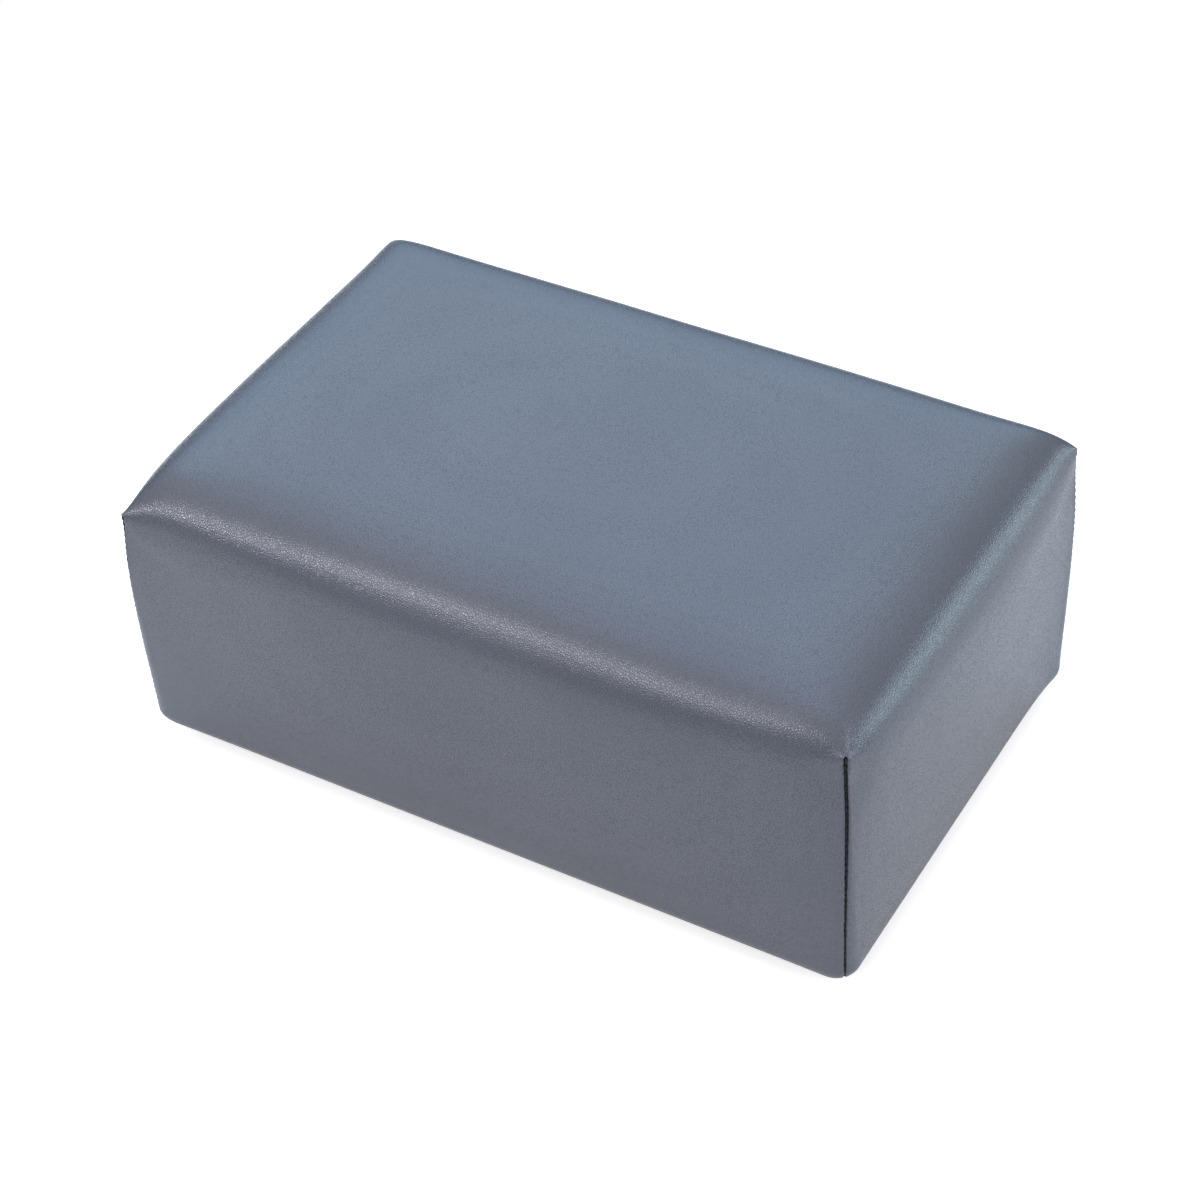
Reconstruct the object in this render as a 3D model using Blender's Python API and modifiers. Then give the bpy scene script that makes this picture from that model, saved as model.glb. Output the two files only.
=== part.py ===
# A pilates sitting box: a plywood box padded with foam, in a sewn leathercloth cover, on four rubber feet.
# Metres, +Z up. The origin is on the floor under the middle of the box, and +X runs along its length.

import math

import bmesh
import bpy
from mathutils import Vector

# Form of the finished box, over the cover
LENGTH = 0.400
WIDTH = 0.250
CORNER_HEIGHT = 0.150  # from the cover's underside to its four pointed top corners
CROWN = 0.018  # rise of the padded top above those corners, within the roll along its edges
DOME = 0.0045  # slow further rise towards the middle of the seat
SHOULDER_DROP = 0.022  # how far below the corners the roll starts, midway along an edge
LONG_SHOULDER_POWER = 12  # a higher power keeps the rise of that line nearer to a long edge's corners
END_SHOULDER_POWER = 8  # and to an end's corners
END_ROLL_POWER = 18  # a higher power makes a tighter roll, here at the two short ends
LONG_ROLL_POWER = 14  # and here along the two long edges
ROLL_ROUNDNESS = 0.5
LONG_SIDE_BULGE = 0.0045
END_BULGE = 0.0045
BULGE_POWER = 4  # how evenly a side's bulge is spread between its corners
EDGE_HOLD = 8  # how near to its edge the top follows the bulge of the sides
BOTTOM_ROLL = 0.010
LOWER_CORNER_RADIUS = 0.012  # fades to nothing at the pointed top corners

# Layers, from the outside in
COVER_THICKNESS = 0.0012
HEM_WIDTH = 0.045
SIDE_FOAM = 0.008
TOP_FOAM = 0.030  # at the middle of the seat
PANEL = 0.012
POST = 0.025
DUST_COVER = 0.0006
DUST_COVER_INSET = 0.014
GAP = 0.0003  # between pieces that touch
FILLING_GAP = 0.0004  # between the facets of the cover and of what fills it

# Seams at the four vertical corners
SEAM_GROOVE_RADIUS = 0.0009
SEAM_THREAD_RADIUS = SEAM_GROOVE_RADIUS - 1.4 * GAP
SEAM_END = 0.0015  # bare groove past each end of a thread
SEAM_RUN_OUT = 0.004  # cutter past the corner's own ends

# Countersunk wood screws
SCREW_RADIUS = 0.002
SCREW_HEAD_RADIUS = 0.004
SCREW_HEAD_DEPTH = 0.0024
SCREW_LENGTH = 0.035
SCREW_TIP = 0.005
SCREW_END_INSET = 0.045  # from the end of a long board to its first screw
SCREWS_PER_BOARD = 3

# Feet
FOOT_RADIUS = 0.011
FOOT_TAPER = 0.0012
FOOT_HEIGHT = 0.006
FOOT_EDGE = 0.0008
FOOT_INSET = 0.030  # from the box's edges to a foot's middle
WASHER_RADIUS = 0.005
WASHER_THICKNESS = 0.0008
FOOT_SCREW_RADIUS = 0.0017
FOOT_SCREW_HEAD_RADIUS = 0.0034
FOOT_SCREW_HEAD_HEIGHT = 0.0018
HEAD_RECESS = 0.0008  # a foot screw's head stays this far above the floor
TIP_COVER = 0.002  # wood left over a foot screw's tip

# Facets
LENGTH_CELLS = 12
WIDTH_CELLS = 12
ROLL_ROWS = 3
SIDE_ROWS = 3
EDGE_CROWDING = 2.0  # gathers the surface's cells towards its edges
SCREW_SIDES = 12
FOOT_SIDES = 20
CREASE_ANGLE = math.radians(40)
MERGE = 0.00001
CUT_MARGIN = 0.005

# Levels above the floor
DUST_COVER_BASE = FOOT_HEIGHT + GAP
COVER_BASE = DUST_COVER_BASE + DUST_COVER + GAP
BOARD_BASE = COVER_BASE + COVER_THICKNESS + GAP
BASE_TOP = BOARD_BASE + PANEL
WALL_BASE = BASE_TOP + GAP
COVER_TOP = COVER_BASE + CORNER_HEIGHT + CROWN + DOME
DECK_TOP = COVER_TOP - COVER_THICKNESS - GAP - TOP_FOAM - GAP
WALL_TOP = DECK_TOP - PANEL - GAP

# Half sizes of the plywood box, outside and inside
SIDE_LAYERS = COVER_THICKNESS + GAP + SIDE_FOAM + GAP
FRAME_X = LENGTH / 2 - SIDE_LAYERS
FRAME_Y = WIDTH / 2 - SIDE_LAYERS
INNER_X = FRAME_X - PANEL
INNER_Y = FRAME_Y - PANEL

for old in list(bpy.data.objects):
    bpy.data.objects.remove(old, do_unlink=True)

box_parts = bpy.data.collections.new("pilates_sitting_box")
cutters = bpy.data.collections.new("cutters")
bpy.context.scene.collection.children.link(box_parts)
bpy.context.scene.collection.children.link(cutters)

base_point = bpy.data.objects.new("box_origin", None)
box_parts.objects.link(base_point)


def finish(name, color, roughness, metallic=0.0):
    """A Principled material."""
    material = bpy.data.materials.new(name)
    material.use_nodes = True
    shader = material.node_tree.nodes["Principled BSDF"]
    shader.inputs["Base Color"].default_value = (*color, 1.0)
    shader.inputs["Roughness"].default_value = roughness
    shader.inputs["Metallic"].default_value = metallic
    material.diffuse_color = (*color, 1.0)
    return material


LEATHERCLOTH = finish("grey_leathercloth", (0.19, 0.21, 0.24), 0.45)
THREAD = finish("black_polyester_thread", (0.02, 0.02, 0.025), 0.7)
FOAM = finish("upholstery_foam", (0.80, 0.74, 0.55), 0.95)
PLYWOOD = finish("birch_plywood", (0.62, 0.45, 0.27), 0.65)
SOFTWOOD = finish("pine", (0.68, 0.50, 0.30), 0.7)
NONWOVEN = finish("black_nonwoven", (0.03, 0.03, 0.035), 0.95)
RUBBER = finish("black_rubber", (0.035, 0.035, 0.035), 0.8)
STEEL = finish("zinc_plated_steel", (0.62, 0.62, 0.60), 0.35, 1.0)


def place(name, mesh, material):
    """Adds a sub-part's object to the box."""
    part = bpy.data.objects.new(name, mesh)
    box_parts.objects.link(part)
    part.parent = base_point
    if material.name not in part.data.materials:
        part.data.materials.append(material)
    return part


def place_cutter(name, mesh, group):
    """Adds a cutter to its group in the cutters collection."""
    cutter = bpy.data.objects.new(name, mesh)
    group.objects.link(cutter)
    cutter.hide_render = True
    cutter.display_type = "WIRE"
    return cutter


def cutter_group(name):
    """A collection of cutters that cut together."""
    group = bpy.data.collections.new(name)
    cutters.children.link(group)
    return group


def cut(part, group):
    """Cuts every solid of a group out of a part."""
    boolean = part.modifiers.new(group.name, "BOOLEAN")
    boolean.operation = "DIFFERENCE"
    boolean.operand_type = "COLLECTION"
    boolean.collection = group
    boolean.solver = "EXACT"


def keep_inside(part, block):
    """Keeps only what a part shares with a block."""
    boolean = part.modifiers.new(block.name, "BOOLEAN")
    boolean.operation = "INTERSECT"
    boolean.object = block
    boolean.solver = "EXACT"


def block_mesh(name, low, high):
    """A box between two opposite corners."""
    low = Vector(low)
    high = Vector(high)
    block = bmesh.new()
    bmesh.ops.create_cube(block, size=1)
    bmesh.ops.scale(block, vec=high - low, verts=block.verts)
    bmesh.ops.translate(block, vec=(low + high) / 2, verts=block.verts)
    mesh = bpy.data.meshes.new(name)
    block.to_mesh(mesh)
    block.free()
    return mesh


def evaluated_mesh(shape):
    """The plain mesh that a shape's curve or modifiers give. The shape itself is removed."""
    cutters.objects.link(shape)
    bpy.context.view_layer.update()
    evaluated = shape.evaluated_get(bpy.context.evaluated_depsgraph_get())
    mesh = bpy.data.meshes.new_from_object(evaluated)
    bpy.data.objects.remove(shape, do_unlink=True)
    return mesh


def turned_mesh(name, profile, sides):
    """Turns a profile, (radius, height) pairs from its top down the outside, about the Z axis."""
    outline = bpy.data.meshes.new(name + "_profile")
    points = [(radius, 0, height) for radius, height in profile]
    edges = [(index, index + 1) for index in range(len(points) - 1)]
    if profile[0][0] > 0:
        edges.append((len(points) - 1, 0))
    outline.from_pydata(points, edges, [])
    shape = bpy.data.objects.new(name, outline)
    screw = shape.modifiers.new("turned", "SCREW")
    screw.steps = sides
    screw.render_steps = sides
    screw.use_merge_vertices = True
    screw.merge_threshold = MERGE
    mesh = evaluated_mesh(shape)
    mesh.shade_smooth()
    mesh.set_sharp_from_angle(angle=CREASE_ANGLE)
    return mesh


def corners():
    """The four corners as signs along the length and the width, each with its name."""
    for along, end in ((-1, "left"), (1, "right")):
        for across, side in ((-1, "front"), (1, "back")):
            yield along, across, side + "_" + end


# The padded form

def spread(step):
    """Moves an even step between -1 and 1 towards the nearer end."""
    return math.copysign(1 - (1 - abs(step)) ** EDGE_CROWDING, step)


def swell(share):
    """Full at the middle of a side and nothing at its two corners."""
    return 1 - abs(share) ** BULGE_POWER


def shoulder(u, v):
    """Height above the cover's underside where the sides end and the roll starts, full at the corners."""
    nearness = abs(u) ** LONG_SHOULDER_POWER * abs(v) ** END_SHOULDER_POWER
    return CORNER_HEIGHT - SHOULDER_DROP * (1 - nearness)


def side_row(row, top):
    """Height above the cover's underside, and inset from the full outline, of a row of the sides."""
    if row < ROLL_ROWS:
        turned = row / ROLL_ROWS * math.pi / 2
        return BOTTOM_ROLL * (1 - math.cos(turned)), BOTTOM_ROLL * (1 - math.sin(turned))
    share = (row - ROLL_ROWS) / SIDE_ROWS
    return BOTTOM_ROLL + share * (top - BOTTOM_ROLL), 0.0


def along_side(share, half_length, radius):
    """Distance along a side and how far it has turned in, where its last stretch bends by 45 degrees."""
    distance = abs(share) * half_length
    past = max(distance - (half_length - radius), 0.0)
    if past == 0.0:
        return math.copysign(distance, share), 0.0
    bend = past / radius * math.pi / 4
    return math.copysign(half_length - radius + radius * math.sin(bend), share), radius * (1 - math.cos(bend))


def side_point(along, across, row):
    """A point of the four sides. Along and across are even steps, and one of them is -1 or 1."""
    u = spread(along)
    v = spread(across)
    top = shoulder(u, v)
    height, inset = side_row(row, top)
    rise = height / top
    radius = LOWER_CORNER_RADIUS * (1 - rise)
    swollen = math.sin(rise * math.pi / 2)
    half_x = LENGTH / 2 - inset
    half_y = WIDTH / 2 - inset
    if abs(along) == 1:
        y, turned_in = along_side(v, half_y, radius)
        x = math.copysign(half_x - turned_in + END_BULGE * swell(v) * swollen, along)
    else:
        x, turned_in = along_side(u, half_x, radius)
        y = math.copysign(half_y - turned_in + LONG_SIDE_BULGE * swell(u) * swollen, across)
    return Vector((x, y, COVER_BASE + height))


def top_point(along, across):
    """A point of the crowned top."""
    u = spread(along)
    v = spread(across)
    x = u * LENGTH / 2 + math.copysign(abs(u) ** EDGE_HOLD, u) * END_BULGE * swell(v)
    y = v * WIDTH / 2 + math.copysign(abs(v) ** EDGE_HOLD, v) * LONG_SIDE_BULGE * swell(u)
    rolled = ((1 - abs(u) ** END_ROLL_POWER) * (1 - abs(v) ** LONG_ROLL_POWER)) ** ROLL_ROUNDNESS
    domed = (1 - u * u) * (1 - v * v)
    height = shoulder(u, v) + (SHOULDER_DROP + CROWN) * rolled + DOME * domed
    return Vector((x, y, COVER_BASE + height))


def padded_point(step):
    """The point of the padded form for a point of the two-unit cube that it is made from."""
    along, across, up = step
    if abs(along) == 1 or abs(across) == 1:
        return side_point(along, across, round((up + 1) / 2 * (ROLL_ROWS + SIDE_ROWS)))
    if up == 1:
        return top_point(along, across)
    return Vector((along * LENGTH / 2, across * WIDTH / 2, COVER_BASE))


def ridge_corners(surface):
    """Splits the top's four corner cells from the corner inwards, so that each corner keeps a ridge."""
    for corner in [vert for vert in surface.verts if vert.co.z == abs(vert.co.x) == abs(vert.co.y) == 1]:
        for loop in list(corner.link_loops):
            if all(vert.co.z == 1 for vert in loop.face.verts):
                across = loop.link_loop_next.link_loop_next.vert
                bmesh.utils.face_split(loop.face, corner, across)


def padded_mesh(name, inset):
    """The closed surface of the padded form, or one that lies a little inside it."""
    surface = bmesh.new()
    bmesh.ops.create_cube(surface, size=2)
    for axis, cells in enumerate((LENGTH_CELLS, WIDTH_CELLS, ROLL_ROWS + SIDE_ROWS)):
        lengthwise = [
            edge for edge in surface.edges if edge.verts[0].co[axis] != edge.verts[1].co[axis]
        ]
        bmesh.ops.subdivide_edges(surface, edges=lengthwise, cuts=cells - 1)
    underside = [face for face in surface.faces if all(vert.co.z == -1 for vert in face.verts)]
    bmesh.ops.dissolve_faces(surface, faces=underside, use_verts=False)
    ridge_corners(surface)
    for vert in surface.verts:
        vert.co = padded_point(vert.co)
    bmesh.ops.triangulate(surface, faces=[face for face in surface.faces if len(face.verts) == 4])
    surface.normal_update()
    moves = [(vert, vert.normal * vert.calc_shell_factor() * inset) for vert in surface.verts]
    for vert, move in moves:
        vert.co -= move
    mesh = bpy.data.meshes.new(name)
    surface.to_mesh(mesh)
    surface.free()
    mesh.shade_smooth()
    mesh.set_sharp_from_angle(angle=CREASE_ANGLE)
    return mesh


# Seams and threads

def seam_path(along, across):
    """The corner's own points, from the hem up to the pointed top corner."""
    return [side_point(along, across, row) for row in range(ROLL_ROWS + SIDE_ROWS + 1)]


def lengthen(points, extra):
    """Moves both ends of a path outwards, or inwards where extra is below zero."""
    first = points[0] + (points[0] - points[1]).normalized() * extra
    last = points[-1] + (points[-1] - points[-2]).normalized() * extra
    return [first, *points[1:-1], last]


def tube(name, points, radius):
    """A round cord along straight runs between points."""
    curve = bpy.data.curves.new(name, "CURVE")
    curve.dimensions = "3D"
    curve.bevel_depth = radius
    curve.bevel_resolution = 2
    curve.use_fill_caps = True
    spline = curve.splines.new("POLY")
    spline.points.add(len(points) - 1)
    for control, point in zip(spline.points, points):
        control.co = (*point, 1.0)
    return curve


def tube_mesh(name, points, radius):
    """The same cord as a closed mesh, which can cut."""
    mesh = evaluated_mesh(bpy.data.objects.new(name, tube(name, points, radius)))
    welded = bmesh.new()
    welded.from_mesh(mesh)
    bmesh.ops.remove_doubles(welded, verts=welded.verts, dist=MERGE)
    welded.to_mesh(mesh)
    welded.free()
    return mesh


def build_seams():
    """Cuts a groove down each corner of the cover and lays its thread in it."""
    grooves = cutter_group("seam_grooves")
    for along, across, corner in corners():
        path = seam_path(along, across)
        mesh = tube_mesh("seam_groove_" + corner, lengthen(path, SEAM_RUN_OUT), SEAM_GROOVE_RADIUS)
        place_cutter("seam_groove_" + corner, mesh, grooves)
        thread = tube("seam_thread_" + corner, lengthen(path[1:], -SEAM_END), SEAM_THREAD_RADIUS)
        place("seam_thread_" + corner, thread, THREAD)
    return grooves


# Screws

def wood_screw_profile(clearance):
    """A countersunk screw with its head's face at the origin, pointing down, grown by a clearance."""
    return [
        (0, clearance),
        (SCREW_HEAD_RADIUS + clearance, clearance),
        (SCREW_HEAD_RADIUS + clearance, -clearance),
        (SCREW_RADIUS + clearance, -SCREW_HEAD_DEPTH - clearance),
        (SCREW_RADIUS + clearance, -SCREW_LENGTH + SCREW_TIP - clearance),
        (0, -SCREW_LENGTH - clearance),
    ]


def screw_positions():
    """Where the wood screws stand, over the middle of the long boards."""
    first = -FRAME_X + SCREW_END_INSET
    pitch = -2 * first / (SCREWS_PER_BOARD - 1)
    for y in (-FRAME_Y + PANEL / 2, FRAME_Y - PANEL / 2):
        for index in range(SCREWS_PER_BOARD):
            yield first + index * pitch, y


def build_wood_screws(name, height, turned_over):
    """A row of wood screws over each long board, and the cutters for their holes."""
    holes = cutter_group(name + "_holes")
    solid_profile = [point for index, point in enumerate(wood_screw_profile(0)) if index != 2]
    screw_mesh = turned_mesh(name, solid_profile, SCREW_SIDES)
    hole_mesh = turned_mesh(name + "_hole", wood_screw_profile(GAP), SCREW_SIDES)
    for number, (x, y) in enumerate(screw_positions(), 1):
        screw = place(f"{name}_{number}", screw_mesh, STEEL)
        hole = place_cutter(f"{name}_{number}_hole", hole_mesh, holes)
        for piece in (screw, hole):
            piece.location = (x, y, height)
            piece.rotation_euler = (math.pi if turned_over else 0, 0, 0)
    return holes


# Feet

def foot_positions():
    """Where the feet stand, each with its corner's name."""
    for along, across, corner in corners():
        yield along * (LENGTH / 2 - FOOT_INSET), across * (WIDTH / 2 - FOOT_INSET), corner


def build_feet():
    """Rubber feet with their washers and screws, and the cutters for the screws' way up."""
    holes = cutter_group("foot_screw_holes")
    shank_hole = FOOT_SCREW_RADIUS + GAP
    recess_depth = HEAD_RECESS + FOOT_SCREW_HEAD_HEIGHT + GAP + WASHER_THICKNESS + GAP
    recess_radius = WASHER_RADIUS + GAP
    head_face = HEAD_RECESS + FOOT_SCREW_HEAD_HEIGHT
    washer_base = head_face + GAP
    tip_height = BASE_TOP - TIP_COVER
    foot_profile = [
        (shank_hole, FOOT_HEIGHT),
        (FOOT_RADIUS, FOOT_HEIGHT),
        (FOOT_RADIUS - FOOT_TAPER, FOOT_EDGE),
        (FOOT_RADIUS - FOOT_TAPER - FOOT_EDGE, 0),
        (recess_radius, 0),
        (recess_radius, recess_depth),
        (shank_hole, recess_depth),
    ]
    washer_profile = [
        (shank_hole, washer_base + WASHER_THICKNESS),
        (WASHER_RADIUS, washer_base + WASHER_THICKNESS),
        (WASHER_RADIUS, washer_base),
        (shank_hole, washer_base),
    ]
    screw_profile = [
        (0, tip_height),
        (FOOT_SCREW_RADIUS, tip_height - SCREW_TIP),
        (FOOT_SCREW_RADIUS, head_face),
        (FOOT_SCREW_HEAD_RADIUS, head_face),
        (FOOT_SCREW_HEAD_RADIUS - FOOT_EDGE, HEAD_RECESS),
        (0, HEAD_RECESS),
    ]
    hole_profile = [(0, tip_height + GAP), (shank_hole, tip_height + GAP), (shank_hole, 0), (0, 0)]
    pieces = (
        ("foot", turned_mesh("foot", foot_profile, FOOT_SIDES), RUBBER),
        ("foot_washer", turned_mesh("foot_washer", washer_profile, SCREW_SIDES), STEEL),
        ("foot_screw", turned_mesh("foot_screw", screw_profile, SCREW_SIDES), STEEL),
    )
    hole_mesh = turned_mesh("foot_screw_hole", hole_profile, SCREW_SIDES)
    for x, y, corner in foot_positions():
        for kind, mesh, material in pieces:
            place(f"{kind}_{corner}", mesh, material).location = (x, y, 0)
        place_cutter("foot_hole_" + corner, hole_mesh, holes).location = (x, y, 0)
    return holes


# Wood

def board(name, half_x, half_y, base, top, material=PLYWOOD, center=(0, 0)):
    """An upright or flat board about a centre, between two levels."""
    x, y = center
    return place(name, block_mesh(name, (x - half_x, y - half_y, base), (x + half_x, y + half_y, top)), material)


def build_wood(deck_holes, base_holes):
    """The plywood box above its base board, with its rib and its corner posts."""
    deck = board("top_deck", FRAME_X, FRAME_Y, WALL_TOP + GAP, DECK_TOP)
    cut(deck, deck_holes)
    long_middle = FRAME_Y - PANEL / 2
    for name, side in (("front_board", -1), ("back_board", 1)):
        long_board = board(name, FRAME_X, PANEL / 2, WALL_BASE, WALL_TOP, center=(0, side * long_middle))
        cut(long_board, deck_holes)
        cut(long_board, base_holes)
    end_middle = FRAME_X - PANEL / 2
    for name, x in (("left_end_board", -end_middle), ("right_end_board", end_middle), ("centre_divider", 0)):
        board(name, PANEL / 2, INNER_Y - GAP, WALL_BASE, WALL_TOP, center=(x, 0))
    for along, across, corner in corners():
        x = along * (INNER_X - GAP - POST / 2)
        y = across * (INNER_Y - GAP - POST / 2)
        board("corner_post_" + corner, POST / 2, POST / 2, WALL_BASE, WALL_TOP, SOFTWOOD, (x, y))


# What fills the cover: its base board, the seat pad and the side sheets

def build_filling(base_holes, foot_holes):
    """The pieces that meet the cover, each cut from the space inside it."""
    reach_x = LENGTH / 2 + END_BULGE + CUT_MARGIN
    reach_y = WIDTH / 2 + LONG_SIDE_BULGE + CUT_MARGIN
    sheet_x = FRAME_X + GAP
    sheet_y = FRAME_Y + GAP
    spaces = (
        ("base_board", PLYWOOD, (-reach_x, -reach_y, COVER_BASE), (reach_x, reach_y, BASE_TOP)),
        ("top_foam_pad", FOAM, (-reach_x, -reach_y, DECK_TOP + GAP), (reach_x, reach_y, COVER_TOP)),
        ("front_foam", FOAM, (-reach_x, -reach_y, WALL_BASE), (reach_x, -sheet_y, DECK_TOP)),
        ("back_foam", FOAM, (-reach_x, sheet_y, WALL_BASE), (reach_x, reach_y, DECK_TOP)),
        ("left_end_foam", FOAM, (-reach_x, -FRAME_Y, WALL_BASE), (-sheet_x, FRAME_Y, DECK_TOP)),
        ("right_end_foam", FOAM, (sheet_x, -FRAME_Y, WALL_BASE), (reach_x, FRAME_Y, DECK_TOP)),
    )
    blocks = cutter_group("spaces_inside_cover")
    inside_cover = padded_mesh("inside_cover", COVER_THICKNESS + FILLING_GAP)
    for name, material, low, high in spaces:
        filling = place(name, inside_cover.copy(), material)
        space = place_cutter(name + "_space", block_mesh(name + "_space", low, high), blocks)
        keep_inside(filling, space)
        if name == "base_board":
            cut(filling, base_holes)
            cut(filling, foot_holes)


# Cover and underside

def build_cover(grooves, foot_holes):
    """The sewn cover: one skin over the top and sides, turned under as a hem."""
    cover = place("vinyl_cover", padded_mesh("vinyl_cover", 0), LEATHERCLOTH)
    solidify = cover.modifiers.new("cloth_thickness", "SOLIDIFY")
    solidify.thickness = COVER_THICKNESS
    solidify.offset = -1
    solidify.use_even_offset = True
    opening_group = cutter_group("hem_opening")
    half_x = LENGTH / 2 - HEM_WIDTH
    half_y = WIDTH / 2 - HEM_WIDTH
    opening = block_mesh(
        "hem_opening", (-half_x, -half_y, COVER_BASE - CUT_MARGIN), (half_x, half_y, COVER_BASE + CUT_MARGIN)
    )
    place_cutter("hem_opening", opening, opening_group)
    cut(cover, opening_group)
    cut(cover, grooves)
    cut(cover, foot_holes)


def build_dust_cover(foot_holes):
    """The sheet that closes the underside."""
    dust_cover = board(
        "bottom_dust_cover",
        LENGTH / 2 - DUST_COVER_INSET,
        WIDTH / 2 - DUST_COVER_INSET,
        DUST_COVER_BASE,
        DUST_COVER_BASE + DUST_COVER,
        NONWOVEN,
    )
    cut(dust_cover, foot_holes)


deck_screw_holes = build_wood_screws("deck_screw", DECK_TOP, False)
base_screw_holes = build_wood_screws("base_screw", BOARD_BASE, True)
foot_screw_holes = build_feet()
build_wood(deck_screw_holes, base_screw_holes)
build_filling(base_screw_holes, foot_screw_holes)
seam_grooves = build_seams()
build_cover(seam_grooves, foot_screw_holes)
build_dust_cover(foot_screw_holes)
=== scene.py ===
# A pilates sitting box, dressed for the camera: a padded plywood box in a sewn grey leathercloth cover.
# Metres, +Z up, +X along the box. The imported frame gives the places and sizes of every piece.

import math

import bmesh
import bpy
import numpy as np
from mathutils import Matrix, Vector, noise


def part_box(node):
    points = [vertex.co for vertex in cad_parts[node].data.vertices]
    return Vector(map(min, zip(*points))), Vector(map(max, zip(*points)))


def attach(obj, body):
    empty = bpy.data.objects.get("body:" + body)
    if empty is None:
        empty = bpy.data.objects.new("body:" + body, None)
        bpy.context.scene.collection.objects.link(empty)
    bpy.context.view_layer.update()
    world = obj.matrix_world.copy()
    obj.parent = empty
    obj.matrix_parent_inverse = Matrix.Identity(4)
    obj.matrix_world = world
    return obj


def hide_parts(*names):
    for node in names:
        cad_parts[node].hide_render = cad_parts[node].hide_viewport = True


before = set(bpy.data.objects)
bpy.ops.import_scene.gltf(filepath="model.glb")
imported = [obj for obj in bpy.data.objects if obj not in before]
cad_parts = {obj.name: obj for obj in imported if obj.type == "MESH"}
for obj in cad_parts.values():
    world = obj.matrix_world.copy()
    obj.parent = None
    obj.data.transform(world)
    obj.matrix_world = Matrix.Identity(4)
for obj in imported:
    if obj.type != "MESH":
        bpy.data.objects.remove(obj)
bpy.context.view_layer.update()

scene = bpy.context.scene
mm = 0.001
tiny = 1e-6  # stands for nothing where a radius or a distance has to be more
corners = {
    "front_left": (-1, -1),
    "front_right": (1, -1),
    "back_right": (1, 1),
    "back_left": (-1, 1),
}

# Camera, on the photograph's own angle

camera = {
    "azimuth": 32.05,
    "elevation": 41.50,
    "roll": -3.40,
    "distance": 1.5210,
    "aside": 0.0025,  # how far the view's middle lies from the pivot, across and up
    "above": 0.0043,
    "pivotHeight": 0.0822,
    "lens": 89.7,
    "sensor": 36.0,
    "nearest": 0.05,
    "farthest": 30,
}


def aimCamera(sizes):
    turned, raised, rolled = (math.radians(sizes[name]) for name in ("azimuth", "elevation", "roll"))
    flat = math.cos(raised)
    back = Vector((math.sin(turned) * flat, -math.cos(turned) * flat, math.sin(raised)))
    level = Vector((math.cos(turned), math.sin(turned), 0))
    upright = back.cross(level)
    right = math.cos(rolled) * level + math.sin(rolled) * upright
    up = math.cos(rolled) * upright - math.sin(rolled) * level
    place = Vector((0, 0, sizes["pivotHeight"])) + back * sizes["distance"]
    place -= right * sizes["aside"] + up * sizes["above"]
    data = bpy.data.cameras.new("camera")
    data.lens = sizes["lens"]
    data.sensor_width = sizes["sensor"]
    data.clip_start = sizes["nearest"]
    data.clip_end = sizes["farthest"]
    eye = bpy.data.objects.new("camera", data)
    scene.collection.objects.link(eye)
    eye.matrix_world = Matrix((right, up, back)).transposed().to_4x4()
    eye.location = place
    scene.camera = eye


aimCamera(camera)
print("camera placed")


# Colours and nodes

def hexColor(code):
    # an sRGB hex value as the linear colour that Blender's sockets hold
    channels = [int(code[start:start + 2], 16) / 255 for start in (0, 2, 4)]
    return (*[c / 12.92 if c <= 0.04045 else ((c + 0.055) / 1.055) ** 2.4 for c in channels], 1.0)


def addNode(tree, kind, inputs=None, **settings):
    # adds one node. An input takes a value, or a socket of another node, which is linked to it.
    node = tree.nodes.new(kind)
    for name, value in settings.items():
        setattr(node, name, value)
    for name, value in (inputs or {}).items():
        if isinstance(value, bpy.types.NodeSocket):
            tree.links.new(value, node.inputs[name])
        else:
            node.inputs[name].default_value = value
    return node


def newMaterial(name):
    material = bpy.data.materials.new(name)
    material.use_nodes = True
    material.node_tree.nodes.clear()
    return material, material.node_tree


def finishMaterial(tree, inputs):
    # one shader makes the whole surface
    shader = addNode(tree, "ShaderNodeBsdfPrincipled", inputs)
    addNode(tree, "ShaderNodeOutputMaterial", {"Surface": shader.outputs["BSDF"]})


# Leathercloth: PVC on a knitted backing, calendered with a fine pebble grain. It gives the eye a satin
# blue-grey skin, duller in the grain's valleys, whose highlights break up into small sparkling pebbles.

leathercloth = {
    "light": "595d66",
    "dark": "545861",
    "valley": "4a4e57",
    "seamShadow": "0b0c0f",
    "patch": 90 * mm,  # size of the slow changes of tone
    "patchLevels": (0.35, 0.65),
    "pebble": 1.25 * mm,
    "pebbleEdge": 0.32,  # how wide a pebble's flank is, and how far its outline wanders, in pebbles
    "pebbleWander": 0.9,
    "wanderScale": 0.4,
    "pore": 0.45 * mm,
    "poreRelief": 0.25,
    "grainDepth": 0.043 * mm,
    "roughness": 0.16,
    "valleyRoughness": 0.42,
    "valleyLevels": (0.5, 0.6),  # up to which height of a pebble its valley's colour and roughness reach
    "ior": 1.5,
}


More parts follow.
